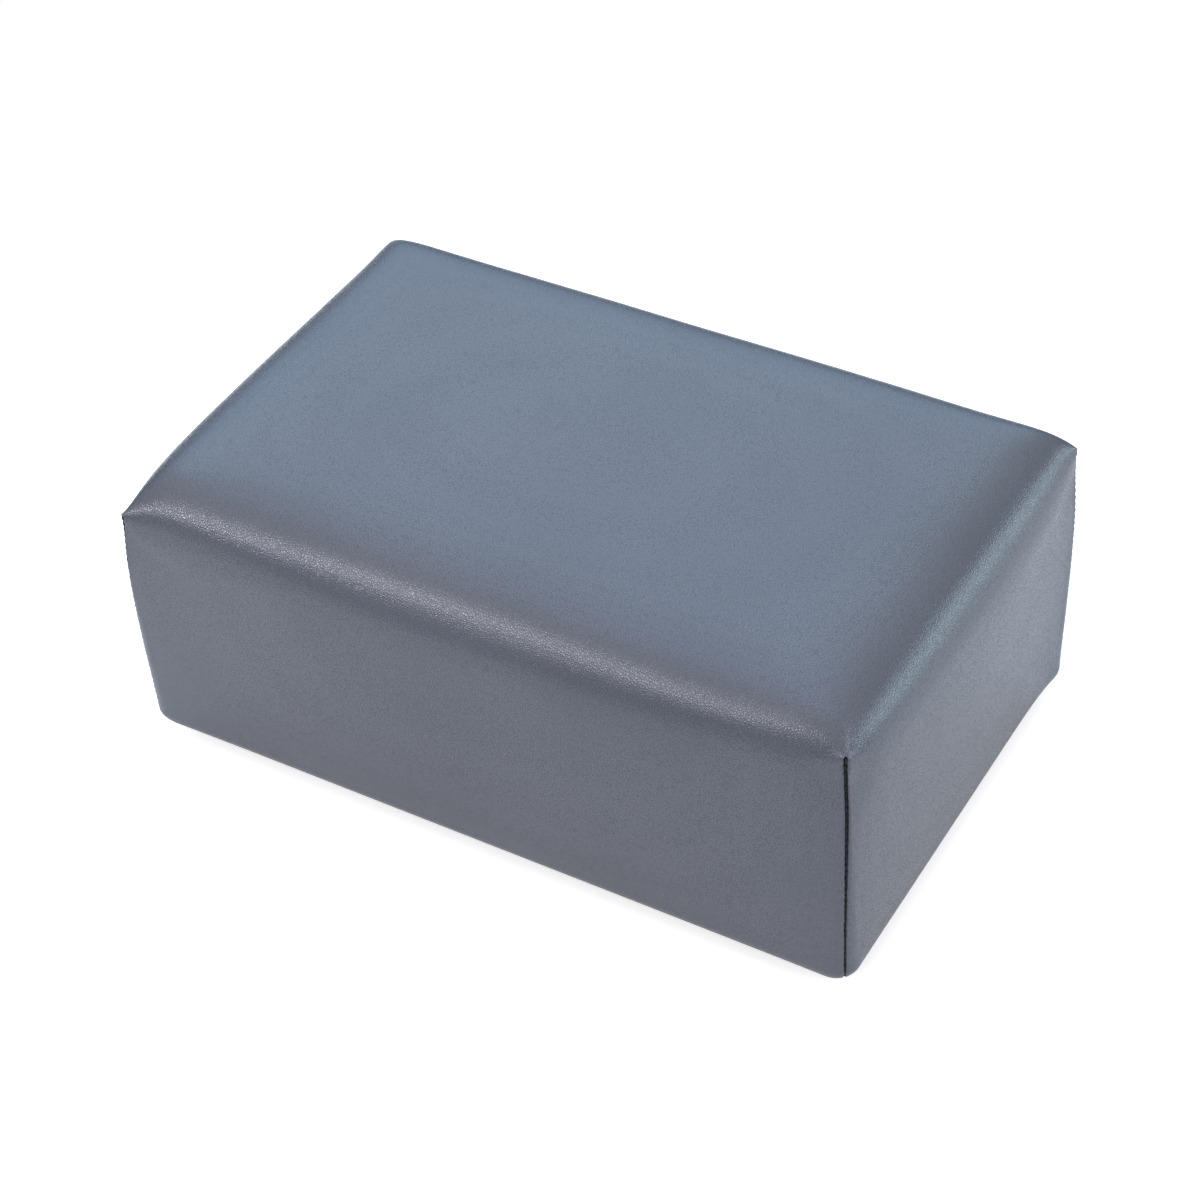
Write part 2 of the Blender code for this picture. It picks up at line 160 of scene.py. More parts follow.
def makeLeathercloth(sizes):
    material, tree = newMaterial("greyPvcLeathercloth")
    spot = addNode(tree, "ShaderNodeTexCoord").outputs["Object"]
    wander = addNode(
        tree,
        "ShaderNodeTexNoise",
        {"Vector": spot, "Scale": sizes["wanderScale"] / sizes["pebble"], "Detail": 2.0},
    ).outputs["Color"]
    bent = addNode(
        tree,
        "ShaderNodeVectorMath",
        {0: wander, 1: (sizes["pebbleWander"] * sizes["pebble"],) * 3, 2: spot},
        operation="MULTIPLY_ADD",
    ).outputs[0]
    edge = addNode(
        tree,
        "ShaderNodeTexVoronoi",
        {"Vector": bent, "Scale": 1 / sizes["pebble"], "Randomness": 0.9},
        feature="DISTANCE_TO_EDGE",
    ).outputs["Distance"]
    pebble = addNode(
        tree,
        "ShaderNodeMapRange",
        {"Value": edge, "From Min": 0.0, "From Max": sizes["pebbleEdge"]},
        interpolation_type="SMOOTHSTEP",
    ).outputs[0]
    pores = addNode(
        tree, "ShaderNodeTexNoise", {"Vector": spot, "Scale": 1 / sizes["pore"], "Detail": 3.0}
    ).outputs["Fac"]
    tone = addNode(
        tree, "ShaderNodeTexNoise", {"Vector": spot, "Scale": 1 / sizes["patch"], "Detail": 3.0}
    ).outputs["Fac"]
    patchLow, patchHigh = sizes["patchLevels"]
    patch = addNode(
        tree,
        "ShaderNodeMapRange",
        {"Value": tone, "From Min": patchLow, "From Max": patchHigh},
        interpolation_type="SMOOTHSTEP",
    ).outputs[0]
    skin = addNode(
        tree,
        "ShaderNodeMix",
        {0: patch, 6: hexColor(sizes["dark"]), 7: hexColor(sizes["light"])},
        data_type="RGBA",
    ).outputs[2]
    colorTop, roughTop = sizes["valleyLevels"]
    raised = addNode(
        tree,
        "ShaderNodeMapRange",
        {"Value": pebble, "From Min": 0.0, "From Max": colorTop},
        interpolation_type="SMOOTHSTEP",
    ).outputs[0]
    grained = addNode(
        tree, "ShaderNodeMix", {0: raised, 6: hexColor(sizes["valley"]), 7: skin}, data_type="RGBA"
    ).outputs[2]
    seam = addNode(tree, "ShaderNodeAttribute", attribute_name="seamShade").outputs["Fac"]
    color = addNode(
        tree, "ShaderNodeMix", {0: seam, 6: grained, 7: hexColor(sizes["seamShadow"])}, data_type="RGBA"
    ).outputs[2]
    relief = addNode(
        tree, "ShaderNodeMath", {0: pores, 1: sizes["poreRelief"], 2: pebble}, operation="MULTIPLY_ADD"
    ).outputs[0]
    bump = addNode(
        tree, "ShaderNodeBump", {"Strength": 1.0, "Distance": sizes["grainDepth"], "Height": relief}
    ).outputs["Normal"]
    grainRoughness = addNode(
        tree,
        "ShaderNodeMapRange",
        {
            "Value": pebble,
            "From Min": 0.0,
            "From Max": roughTop,
            "To Min": sizes["valleyRoughness"],
            "To Max": sizes["roughness"],
        },
        interpolation_type="SMOOTHSTEP",
    ).outputs[0]
    roughness = addNode(
        tree, "ShaderNodeMath", {0: grainRoughness, 1: seam}, operation="MAXIMUM"
    ).outputs[0]
    finishMaterial(
        tree, {"Base Color": color, "Roughness": roughness, "IOR": sizes["ior"], "Normal": bump}
    )
    return material


# Bonded polyester sewing thread: dull black, with the slant of its ply as fine lighter streaks.

thread = {
    "dark": "0e0f12",
    "light": "191b1f",
    "fibre": 0.12 * mm,
    "fibreLevels": (0.4, 0.7),
    "relief": 0.03 * mm,
    "reliefShare": 0.6,
    "roughness": 0.7,
    "sheen": 0.05,
}


def makeThread(sizes):
    material, tree = newMaterial("bondedPolyesterThread")
    spot = addNode(tree, "ShaderNodeTexCoord").outputs["Object"]
    fibres = addNode(
        tree, "ShaderNodeTexNoise", {"Vector": spot, "Scale": 1 / sizes["fibre"], "Detail": 2.0}
    ).outputs["Fac"]
    low, high = sizes["fibreLevels"]
    streaks = addNode(
        tree,
        "ShaderNodeMapRange",
        {"Value": fibres, "From Min": low, "From Max": high},
        interpolation_type="SMOOTHSTEP",
    ).outputs[0]
    color = addNode(
        tree,
        "ShaderNodeMix",
        {0: streaks, 6: hexColor(sizes["dark"]), 7: hexColor(sizes["light"])},
        data_type="RGBA",
    ).outputs[2]
    bump = addNode(
        tree,
        "ShaderNodeBump",
        {"Strength": sizes["reliefShare"], "Distance": sizes["relief"], "Height": fibres},
    ).outputs["Normal"]
    finishMaterial(
        tree,
        {
            "Base Color": color,
            "Roughness": sizes["roughness"],
            "Sheen Weight": sizes["sheen"],
            "Normal": bump,
        },
    )
    return material


# Open-cell polyurethane foam: cream, matt, and pitted all over by its small cut cells.

foam = {
    "light": "e9dfbf",
    "shade": "cbbd93",
    "cell": 1.1 * mm,
    "cellLevels": (0.1, 0.6),
    "cloudScale": 30.0,  # per metre, of its soft patches
    "cloudShare": 0.35,
    "depth": 0.35 * mm,
    "roughness": 0.95,
}


def makeFoam(sizes):
    material, tree = newMaterial("openCellFoam")
    spot = addNode(tree, "ShaderNodeTexCoord").outputs["Object"]
    cells = addNode(
        tree, "ShaderNodeTexVoronoi", {"Vector": spot, "Scale": 1 / sizes["cell"]}, feature="F1"
    ).outputs["Distance"]
    low, high = sizes["cellLevels"]
    pit = addNode(
        tree,
        "ShaderNodeMapRange",
        {"Value": cells, "From Min": low, "From Max": high},
        interpolation_type="SMOOTHSTEP",
    ).outputs[0]
    cloud = addNode(
        tree, "ShaderNodeTexNoise", {"Vector": spot, "Scale": sizes["cloudScale"]}
    ).outputs["Fac"]
    shaded = addNode(
        tree, "ShaderNodeMath", {0: cloud, 1: sizes["cloudShare"]}, operation="MULTIPLY"
    ).outputs[0]
    cream = addNode(
        tree,
        "ShaderNodeMix",
        {0: shaded, 6: hexColor(sizes["light"]), 7: hexColor(sizes["shade"])},
        data_type="RGBA",
    ).outputs[2]
    color = addNode(
        tree, "ShaderNodeMix", {0: pit, 6: hexColor(sizes["shade"]), 7: cream}, data_type="RGBA"
    ).outputs[2]
    bump = addNode(
        tree, "ShaderNodeBump", {"Strength": 1.0, "Distance": sizes["depth"], "Height": pit}
    ).outputs["Normal"]
    finishMaterial(tree, {"Base Color": color, "Roughness": sizes["roughness"], "Normal": bump})
    return material


# Birch plywood, sanded and bare: pale tan faces with fine grain along the sheet, and edges striped by the
# plies, where darker end grain takes turns with long grain and thin glue lines.

birch = {
    "pale": "d8b98c",
    "grain": "c39f6c",
    "endGrain": "a9834f",
    "endGrainShare": 0.6,
    "glue": "6b4a2b",
    "ply": 1.33 * mm,
    "countFrom": 100.0,  # a whole number that keeps the count of plies above nothing
    "glueShare": 0.12,
    "fibre": 0.8 * mm,
    "fibreLength": 45 * mm,
    "fibreLevels": (0.35, 0.7),
    "relief": 0.08 * mm,
    "reliefShare": 0.5,
    "roughness": 0.6,
}


def makePlywood(sizes, name, thicknessAxis, firstPly):
    # thicknessAxis is 0, 1 or 2, and firstPly the level of the board's lower face on it
    material, tree = newMaterial(name)
    spot = addNode(tree, "ShaderNodeTexCoord").outputs["Object"]
    level = addNode(tree, "ShaderNodeSeparateXYZ", {"Vector": spot}).outputs[thicknessAxis]
    above = addNode(tree, "ShaderNodeMath", {0: level, 1: firstPly}, operation="SUBTRACT").outputs[0]
    plies = addNode(tree, "ShaderNodeMath", {0: above, 1: sizes["ply"]}, operation="DIVIDE").outputs[0]
    counted = addNode(
        tree, "ShaderNodeMath", {0: plies, 1: sizes["countFrom"]}, operation="ADD"
    ).outputs[0]
    whole = addNode(tree, "ShaderNodeMath", {0: counted}, operation="FLOOR").outputs[0]
    turns = addNode(tree, "ShaderNodeMath", {0: whole, 1: 2.0}, operation="MODULO").outputs[0]
    within = addNode(tree, "ShaderNodeMath", {0: counted}, operation="FRACT").outputs[0]
    glue = addNode(
        tree, "ShaderNodeMath", {0: within, 1: sizes["glueShare"]}, operation="LESS_THAN"
    ).outputs[0]
    longAxis = 0 if thicknessAxis != 0 else 1
    stretch = [1 / sizes["fibre"]] * 3
    stretch[longAxis] = 1 / sizes["fibreLength"]
    drawn = addNode(
        tree, "ShaderNodeMapping", {"Vector": spot, "Scale": stretch}, vector_type="POINT"
    ).outputs["Vector"]
    fibres = addNode(
        tree, "ShaderNodeTexNoise", {"Vector": drawn, "Scale": 1.0, "Detail": 5.0, "Distortion": 0.4}
    ).outputs["Fac"]
    low, high = sizes["fibreLevels"]
    streaks = addNode(
        tree,
        "ShaderNodeMapRange",
        {"Value": fibres, "From Min": low, "From Max": high},
        interpolation_type="SMOOTHSTEP",
    ).outputs[0]
    face = addNode(
        tree,
        "ShaderNodeMix",
        {0: streaks, 6: hexColor(sizes["pale"]), 7: hexColor(sizes["grain"])},
        data_type="RGBA",
    ).outputs[2]
    turned = addNode(
        tree, "ShaderNodeMath", {0: turns, 1: sizes["endGrainShare"]}, operation="MULTIPLY"
    ).outputs[0]
    striped = addNode(
        tree, "ShaderNodeMix", {0: turned, 6: face, 7: hexColor(sizes["endGrain"])}, data_type="RGBA"
    ).outputs[2]
    color = addNode(
        tree, "ShaderNodeMix", {0: glue, 6: striped, 7: hexColor(sizes["glue"])}, data_type="RGBA"
    ).outputs[2]
    bump = addNode(
        tree,
        "ShaderNodeBump",
        {"Strength": sizes["reliefShare"], "Distance": sizes["relief"], "Height": fibres},
    ).outputs["Normal"]
    finishMaterial(tree, {"Base Color": color, "Roughness": sizes["roughness"], "Normal": bump})
    return material


# Planed pine battens: warm yellow sapwood with darker growth rings that run up the post.

pine = {
    "sap": "dcb781",
    "ring": "b07f45",
    "ringWidth": 3.2 * mm,
    "ringLevels": (0.45, 1.0),
    "heart": (0.06, 0.05, 0),  # where the tree's middle lies
    "upright": 0.05,  # how little the rings change up the post
    "fibre": 0.7 * mm,
    "fibreScale": 30.0,  # per metre, up the post
    "relief": 0.06 * mm,
    "reliefShare": 0.5,
    "roughness": 0.62,
}


def makePine(sizes):
    material, tree = newMaterial("planedPine")
    spot = addNode(tree, "ShaderNodeTexCoord").outputs["Object"]
    heart = addNode(
        tree,
        "ShaderNodeMapping",
        {"Vector": spot, "Location": sizes["heart"], "Scale": (1, 1, sizes["upright"])},
    ).outputs["Vector"]
    # a wave texture of scale 1 has 20 / (2 pi) rings a metre
    ringScale = 2 * math.pi / 20 / sizes["ringWidth"]
    rings = addNode(
        tree,
        "ShaderNodeTexWave",
        {"Vector": heart, "Scale": ringScale, "Distortion": 2.0, "Detail": 2.0},
        wave_type="RINGS",
        rings_direction="Z",
    ).outputs["Fac"]
    ringLow, ringHigh = sizes["ringLevels"]
    late = addNode(
        tree,
        "ShaderNodeMapRange",
        {"Value": rings, "From Min": ringLow, "From Max": ringHigh},
        interpolation_type="SMOOTHSTEP",
    ).outputs[0]
    color = addNode(
        tree,
        "ShaderNodeMix",
        {0: late, 6: hexColor(sizes["sap"]), 7: hexColor(sizes["ring"])},
        data_type="RGBA",
    ).outputs[2]
    across = 1 / sizes["fibre"]
    fine = addNode(
        tree, "ShaderNodeMapping", {"Vector": spot, "Scale": (across, across, sizes["fibreScale"])}
    ).outputs["Vector"]
    fibres = addNode(
        tree, "ShaderNodeTexNoise", {"Vector": fine, "Scale": 1.0, "Detail": 3.0}
    ).outputs["Fac"]
    bump = addNode(
        tree,
        "ShaderNodeBump",
        {"Strength": sizes["reliefShare"], "Distance": sizes["relief"], "Height": fibres},
    ).outputs["Normal"]
    finishMaterial(tree, {"Base Color": color, "Roughness": sizes["roughness"], "Normal": bump})
    return material


# Black spunbond polypropylene: a thin felt of pressed fibres with a lattice of small bonded dots that
# catch the light as slightly shinier dimples.

spunbond = {
    "fibre": "191a1c",
    "bond": "0c0c0e",
    "dotPitch": 1.6 * mm,
    "dotEdge": (0.34, 0.24),  # its radius, outside and inside its soft edge, in pitches
    "fibreWidth": 0.25 * mm,
    "fibreRelief": 0.6,
    "relief": 0.1 * mm,
    "reliefShare": 0.8,
    "roughness": 0.88,
    "bondRoughness": 0.5,
}


def makeSpunbond(sizes):
    material, tree = newMaterial("blackSpunbond")
    spot = addNode(tree, "ShaderNodeTexCoord").outputs["Object"]
    lattice = addNode(
        tree,
        "ShaderNodeMapping",
        {"Vector": spot, "Rotation": (0, 0, math.pi / 4), "Scale": (1 / sizes["dotPitch"],) * 3},
    ).outputs["Vector"]
    dots = addNode(
        tree,
        "ShaderNodeTexVoronoi",
        {"Vector": lattice, "Scale": 1.0, "Randomness": 0.0},
        feature="F1",
        voronoi_dimensions="2D",
    ).outputs["Distance"]
    outside, inside = sizes["dotEdge"]
    bond = addNode(
        tree,
        "ShaderNodeMapRange",
        {"Value": dots, "From Min": outside, "From Max": inside},
        interpolation_type="SMOOTHSTEP",
    ).outputs[0]
    felt = addNode(
        tree,
        "ShaderNodeTexNoise",
        {"Vector": spot, "Scale": 1 / sizes["fibreWidth"], "Detail": 4.0, "Distortion": 1.5},
    ).outputs["Fac"]
    color = addNode(
        tree,
        "ShaderNodeMix",
        {0: bond, 6: hexColor(sizes["fibre"]), 7: hexColor(sizes["bond"])},
        data_type="RGBA",
    ).outputs[2]
    nap = addNode(
        tree, "ShaderNodeMath", {0: felt, 1: sizes["fibreRelief"]}, operation="MULTIPLY"
    ).outputs[0]
    relief = addNode(tree, "ShaderNodeMath", {0: nap, 1: bond}, operation="SUBTRACT").outputs[0]
    bump = addNode(
        tree,
        "ShaderNodeBump",
        {"Strength": sizes["reliefShare"], "Distance": sizes["relief"], "Height": relief},
    ).outputs["Normal"]
    roughness = addNode(
        tree,
        "ShaderNodeMapRange",
        {"Value": bond, "To Min": sizes["roughness"], "To Max": sizes["bondRoughness"]},
        interpolation_type="SMOOTHSTEP",
    ).outputs[0]
    finishMaterial(tree, {"Base Color": color, "Roughness": roughness, "Normal": bump})
    return material


# Moulded black rubber: matt, with the faint spark-eroded texture of its mould and dust-grey scuffs.

rubber = {
    "black": "17171a",
    "scuff": "2b2b2d",
    "scuffScale": 160.0,  # per metre
    "scuffLevels": (0.52, 0.7),
    "texture": 0.35 * mm,
    "relief": 0.04 * mm,
    "reliefShare": 0.7,
    "roughness": 0.78,
}


def makeRubber(sizes):
    material, tree = newMaterial("mouldedRubber")
    spot = addNode(tree, "ShaderNodeTexCoord").outputs["Object"]
    grit = addNode(
        tree, "ShaderNodeTexNoise", {"Vector": spot, "Scale": 1 / sizes["texture"], "Detail": 3.0}
    ).outputs["Fac"]
    clouds = addNode(
        tree, "ShaderNodeTexNoise", {"Vector": spot, "Scale": sizes["scuffScale"], "Detail": 4.0}
    ).outputs["Fac"]
    low, high = sizes["scuffLevels"]
    scuff = addNode(
        tree,
        "ShaderNodeMapRange",
        {"Value": clouds, "From Min": low, "From Max": high},
        interpolation_type="SMOOTHSTEP",
    ).outputs[0]
    color = addNode(
        tree,
        "ShaderNodeMix",
        {0: scuff, 6: hexColor(sizes["black"]), 7: hexColor(sizes["scuff"])},
        data_type="RGBA",
    ).outputs[2]
    bump = addNode(
        tree,
        "ShaderNodeBump",
        {"Strength": sizes["reliefShare"], "Distance": sizes["relief"], "Height": grit},
    ).outputs["Normal"]
    finishMaterial(tree, {"Base Color": color, "Roughness": sizes["roughness"], "Normal": bump})
    return material


# Zinc-plated steel: a bluish silver plating over drawn wire, mottled where the passivation runs thicker.

zinc = {
    "bright": "c6c8ca",
    "dull": "a8a9a4",
    "mottle": 2.5 * mm,
    "mottleLevels": (0.4, 0.65),
    "roughness": 0.34,
    "dullRoughness": 0.5,
}


def makeZinc(sizes):
    material, tree = newMaterial("zincPlatedSteel")
    spot = addNode(tree, "ShaderNodeTexCoord").outputs["Object"]
    mottle = addNode(
        tree, "ShaderNodeTexNoise", {"Vector": spot, "Scale": 1 / sizes["mottle"], "Detail": 4.0}
    ).outputs["Fac"]
    low, high = sizes["mottleLevels"]
    patch = addNode(
        tree,
        "ShaderNodeMapRange",
        {"Value": mottle, "From Min": low, "From Max": high},
        interpolation_type="SMOOTHSTEP",
    ).outputs[0]
    color = addNode(
        tree,
        "ShaderNodeMix",
        {0: patch, 6: hexColor(sizes["bright"]), 7: hexColor(sizes["dull"])},
        data_type="RGBA",
    ).outputs[2]
    roughness = addNode(
        tree,
        "ShaderNodeMapRange",
        {"Value": patch, "To Min": sizes["roughness"], "To Max": sizes["dullRoughness"]},
        interpolation_type="SMOOTHSTEP",
    ).outputs[0]
    finishMaterial(tree, {"Base Color": color, "Metallic": 1.0, "Roughness": roughness})
    return material


leatherclothSkin = makeLeathercloth(leathercloth)
sewingThread = makeThread(thread)
openCellFoam = makeFoam(foam)
planedPine = makePine(pine)
blackSpunbond = makeSpunbond(spunbond)
mouldedRubber = makeRubber(rubber)
zincPlate = makeZinc(zinc)
print("materials made")


# The padded form. Along and across run from -1 to 1 over the box's length and width.

coverLow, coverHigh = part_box("vinyl_cover")
form = {
    "cornerHeight": 150 * mm,
    "dome": 4.5 * mm,  # slow rise towards the middle of the seat
    "shoulderDrop": 22 * mm,  # how far below the corners the roll starts, midway along an edge
    "longShoulderPower": 12,
    "endShoulderPower": 8,
    "frontTautness": 1.5,  # how much nearer to its points the front's shoulder line stays low
    "endRollPower": 18,
    "longRollPower": 14,
    "frontEase": 2.5,  # how much gentler the front roll is midway along
    "backFill": 2.5,
    "rollRoundness": 0.5,
    "longSideBulge": 4.5 * mm,
    "endBulge": 4.5 * mm,
    "bulgePower": 4,
    "edgeHold": 8,
    "bottomRoll": 10 * mm,
    "lowerCornerRadius": 12 * mm,
    "clothThickness": 1.2 * mm,
    "hemWidth": 45 * mm,
}
halfLength = coverHigh.x - form["endBulge"]
halfWidth = coverHigh.y - form["longSideBulge"]
coverBase = coverLow.z
crown = coverHigh.z - coverBase - form["cornerHeight"] - form["dome"]

# How the sewn corners of this box ended up: each point's own shift along, across and up
earShifts = {
    "front_left": (1.6 * mm, -2.6 * mm, -3.4 * mm),
    "front_right": (-2.4 * mm, 2.2 * mm, 3.6 * mm),
    "back_right": (0.5 * mm, 0.3 * mm, 0.0),
    "back_left": (-1.2 * mm, -1.0 * mm, -0.2 * mm),
}
earReach = 8  # a higher power keeps a shift nearer its corner

# How far the foam pushes the corner edges out below their points, and how much fuller the left end is
edgeShifts = {
    "front_left": (-8.0 * mm, -1.2 * mm),
    "front_right": (0.9 * mm, -0.9 * mm),
    "back_right": (5.7 * mm, -0.9 * mm),
    "back_left": (-3.0 * mm, 1.0 * mm),
}
edgePower = 3  # a higher power brings these shifts nearer to the points
leftFullness = 2.6 * mm

# How the near seam's upper end leans in. Near values are those of the near corner.
nearLean = {"shift": (-3.2 * mm, 3.2 * mm, -3.8 * mm), "reach": 17 * mm}

# How the panels turn in at their seams, and the hollow that the cloth's pull leaves beside each seam's top
tuck = {"depth": 0.35 * mm, "nearDepth": 1.3 * mm, "width": 9 * mm}
hollow = {
    "depth": 0.5 * mm,
    "nearDepth": 3.6 * mm,
    "aside": 13 * mm,
    "below": 17 * mm,
    "radius": 13 * mm,
}

# Where the tucks and hollows act: on the side panels only, and fading out at their upper and lower edges
panels = {"start": 0.97, "fade": 0.02, "topFade": 8 * mm, "bottomFade": 30 * mm}

# Slow unevenness of the cloth over its foam. It grows towards the box's faces, and its seams stay straight.
ripple = {
    "height": 0.35 * mm,
    "width": 75 * mm,
    "seed": Vector((3.7, 1.2, 8.4)),
    "topLevel": 160 * mm,
    "facePower": 9,
    "seamPower": 6,
}


def spreadSteps(cells, crowding):
    # even steps from -1 to 1, gathered towards both ends
    steps = np.linspace(-1, 1, cells + 1)
    return np.sign(steps) * (1 - (1 - np.abs(steps)) ** crowding)


def swell(share):
    return 1 - np.abs(share) ** form["bulgePower"]


def shoulder(u, v):
    # height over the cover's underside where the sides end and the roll starts
    nearness = np.abs(u) ** form["longShoulderPower"] * np.abs(v) ** form["endShoulderPower"]
    nearness = nearness ** np.where(v < 0, form["frontTautness"], 1)
    return form["cornerHeight"] - form["shoulderDrop"] * (1 - nearness)


def perimeter(alongSteps, acrossSteps):
    # once round the outline, counter-clockwise from the front left corner
    front = [(u, -1.0) for u in alongSteps[:-1]]
    right = [(1.0, v) for v in acrossSteps[:-1]]
    back = [(u, 1.0) for u in alongSteps[:0:-1]]
    left = [(-1.0, v) for v in acrossSteps[:0:-1]]
    return np.array(front + right + back + left)


def sidePoints(outline, base, share, inset, inward=0.0):
    # one row round the four sides, a share of the way from a level up to the shoulder line
    top = shoulder(outline[:, 0], outline[:, 1]) - inward
    height = base + share * (top - base)
    rise = np.clip(height / top, 0, 1)
    radius = np.maximum(form["lowerCornerRadius"] * (1 - rise) - inward, tiny)
    swollen = np.sin(rise * math.pi / 2)
    halves = np.array([halfLength, halfWidth]) - inset - inward
    bulges = [form["endBulge"] * swollen, form["longSideBulge"] * swollen]
    points = np.zeros((len(outline), 3))
    onEnd = np.abs(outline[:, 0]) == 1
    for axis, running in ((0, onEnd), (1, ~onEnd)):
        other = 1 - axis
        step = outline[running, other]
        corner = radius[running]
        distance = np.abs(step) * halves[other]
        past = np.clip(distance - halves[other] + corner, 0, None)
        bend = past / corner * math.pi / 4
        bent = np.where(past > 0, halves[other] - corner + corner * np.sin(bend), distance)
        outward = halves[axis] - corner * (1 - np.cos(bend)) + bulges[axis][running] * swell(step)
        points[running, axis] = np.sign(outline[running, axis]) * outward
        points[running, other] = np.sign(step) * bent
    points[:, 2] = coverBase + height
    return points


def topPoints(along, across, inward=0.0):
    # the crowned top over a grid of steps
    u, v = np.meshgrid(along, across, indexing="ij")
    hold = form["edgeHold"]
    x = u * (halfLength - inward) + np.sign(u) * np.abs(u) ** hold * form["endBulge"] * swell(v)
    y = v * (halfWidth - inward) + np.sign(v) * np.abs(v) ** hold * form["longSideBulge"] * swell(u)
    changes = np.where(v < 0, -form["frontEase"] * swell(u), form["backFill"])
    longRoll = 1 - np.abs(v) ** (form["longRollPower"] + changes)
    rolled = (1 - np.abs(u) ** form["endRollPower"]) * longRoll
    rise = (crown + form["shoulderDrop"]) * np.clip(rolled, 0, 1) ** form["rollRoundness"]
    rise += form["dome"] * (1 - u * u) * (1 - v * v)
    return np.stack([x, y, coverBase + shoulder(u, v) - inward + rise], axis=-1)


def cornerShare(u, v, along, across):
    # 1 at a corner, and next to nothing a short way from it
    return np.clip(u * along, 0, 1) ** earReach * np.clip(v * across, 0, 1) ** earReach


def shapeCloth(points, inward=0.0):
    # moves points with the pointed corners, their hollows and the cloth's slow unevenness. A wall that
    # lies further in moves as far as the skin above it.
    shaped = points.copy()
    u = np.clip(points[:, 0] / (halfLength - inward), -1, 1)
    v = np.clip(points[:, 1] / (halfWidth - inward), -1, 1)
    height = points[:, 2] - coverBase
    fromTop = form["cornerHeight"] - height
    rise = np.clip(height / form["cornerHeight"], 0, 1)
    endGap = halfLength - inward - np.abs(points[:, 0])
    sideGap = halfWidth - inward - np.abs(points[:, 1])
    onSide = np.clip(fromTop / panels["topFade"], 0, 1) * np.clip(height / panels["bottomFade"], 0, 1)
    below = (fromTop - hollow["below"]) / hollow["radius"]
    nearSeam = cornerShare(u, v, 1, -1)
    tuckDepth, hollowDepth = (
        pull["depth"] + (pull["nearDepth"] - pull["depth"]) * nearSeam for pull in (tuck, hollow)
    )
    for gap, share, axis in ((endGap, v, 1), (sideGap, u, 0)):
        facing = np.clip((np.abs(share) - panels["start"]) / panels["fade"], 0, 1) * onSide
        turnedIn = np.exp(-np.clip(gap, 0, None) / tuck["width"]) * tuckDepth
        aside = (gap - hollow["aside"]) / hollow["radius"]
        pulled = np.exp(-(aside ** 2 + below ** 2)) * hollowDepth
        shaped[:, axis] -= np.sign(points[:, axis]) * facing * (turnedIn + pulled)
    for corner, (along, across) in corners.items():
        near = cornerShare(u, v, along, across)
        shaped += (near * rise)[:, None] * np.array(earShifts[corner])
        shaped[:, :2] += (near * (1 - rise ** edgePower))[:, None] * np.array(edgeShifts[corner])
    leaning = nearSeam * np.clip(1 - fromTop / nearLean["reach"], 0, 1) ** 2
    shaped += leaning[:, None] * np.array(nearLean["shift"])
    shaped[:, 0] -= leftFullness * swell(v) * np.clip(-u, 0, 1) ** earReach * rise ** 2
    topShare = np.clip(height / ripple["topLevel"], 0, 1)
    outward = np.stack([u, v, topShare], axis=-1) ** ripple["facePower"]
    free = rise * (1 - np.abs(u * v) ** ripple["seamPower"])
    for index, point in enumerate(points):
        wave = noise.noise(Vector(point) / ripple["width"] + ripple["seed"])
        shaped[index] += outward[index] * (ripple["height"] * wave * free[index])
    return shaped


# Meshes from loops and grids

def gridIndex(rows, count, shape):
    # the point number of each cell corner of a top grid, whose rim is the last of the side rows
    cellsAlong, cellsAcross = shape[0] - 1, shape[1] - 1
    index = np.full(shape, -1)
    rim = [(i, 0) for i in range(cellsAlong)] + [(cellsAlong, j) for j in range(cellsAcross)]
    rim += [(i, cellsAcross) for i in range(cellsAlong, 0, -1)]
    rim += [(0, j) for j in range(cellsAcross, 0, -1)]
    for step, (i, j) in enumerate(rim):
        index[i, j] = (rows - 1) * count + step
    inner = (cellsAlong - 1) * (cellsAcross - 1)
    index[1:-1, 1:-1] = rows * count + np.arange(inner).reshape(cellsAlong - 1, cellsAcross - 1)
    return index


def shellMesh(loops, topGrid):
    # points and faces of a skin: rows of the same outline, then a grid that the last row surrounds
    count = len(loops[0])
    index = gridIndex(len(loops), count, topGrid.shape[:2])
    faces = ringFaces(len(loops), count)
    for i in range(index.shape[0] - 1):
        for j in range(index.shape[1] - 1):
            faces.append((index[i, j], index[i + 1, j], index[i + 1, j + 1], index[i, j + 1]))
    points = np.concatenate([*loops, topGrid[1:-1, 1:-1].reshape(-1, 3)])
    return points, [tuple(int(k) for k in face) for face in faces]


def looseObject(name, data):
    piece = bpy.data.objects.new(name, data)
    scene.collection.objects.link(piece)
    return piece


def plainPiece(shape, name):
    # the plain mesh that an object's modifiers give, as a piece of its own. The object itself is removed.
    bpy.context.view_layer.update()
    evaluated = shape.evaluated_get(bpy.context.evaluated_depsgraph_get())
    mesh = bpy.data.meshes.new_from_object(evaluated)
    bpy.data.objects.remove(shape, do_unlink=True)
    mesh.name = name
    return looseObject(name, mesh)


def smoothShade(mesh, creaseAngle):
    mesh.shade_smooth()
    mesh.set_sharp_from_angle(angle=math.radians(creaseAngle))


def newPiece(name, points, faces, material, creaseAngle=None):
    mesh = bpy.data.meshes.new(name)
    mesh.from_pydata([tuple(point) for point in points], [], faces)
    mesh.materials.append(material)
    if creaseAngle is not None:
        smoothShade(mesh, creaseAngle)
    return looseObject(name, mesh)


def solidMesh(name, solid):
    # a mesh from a bmesh, which is freed
    mesh = bpy.data.meshes.new(name)
    solid.to_mesh(mesh)
    solid.free()
    return mesh


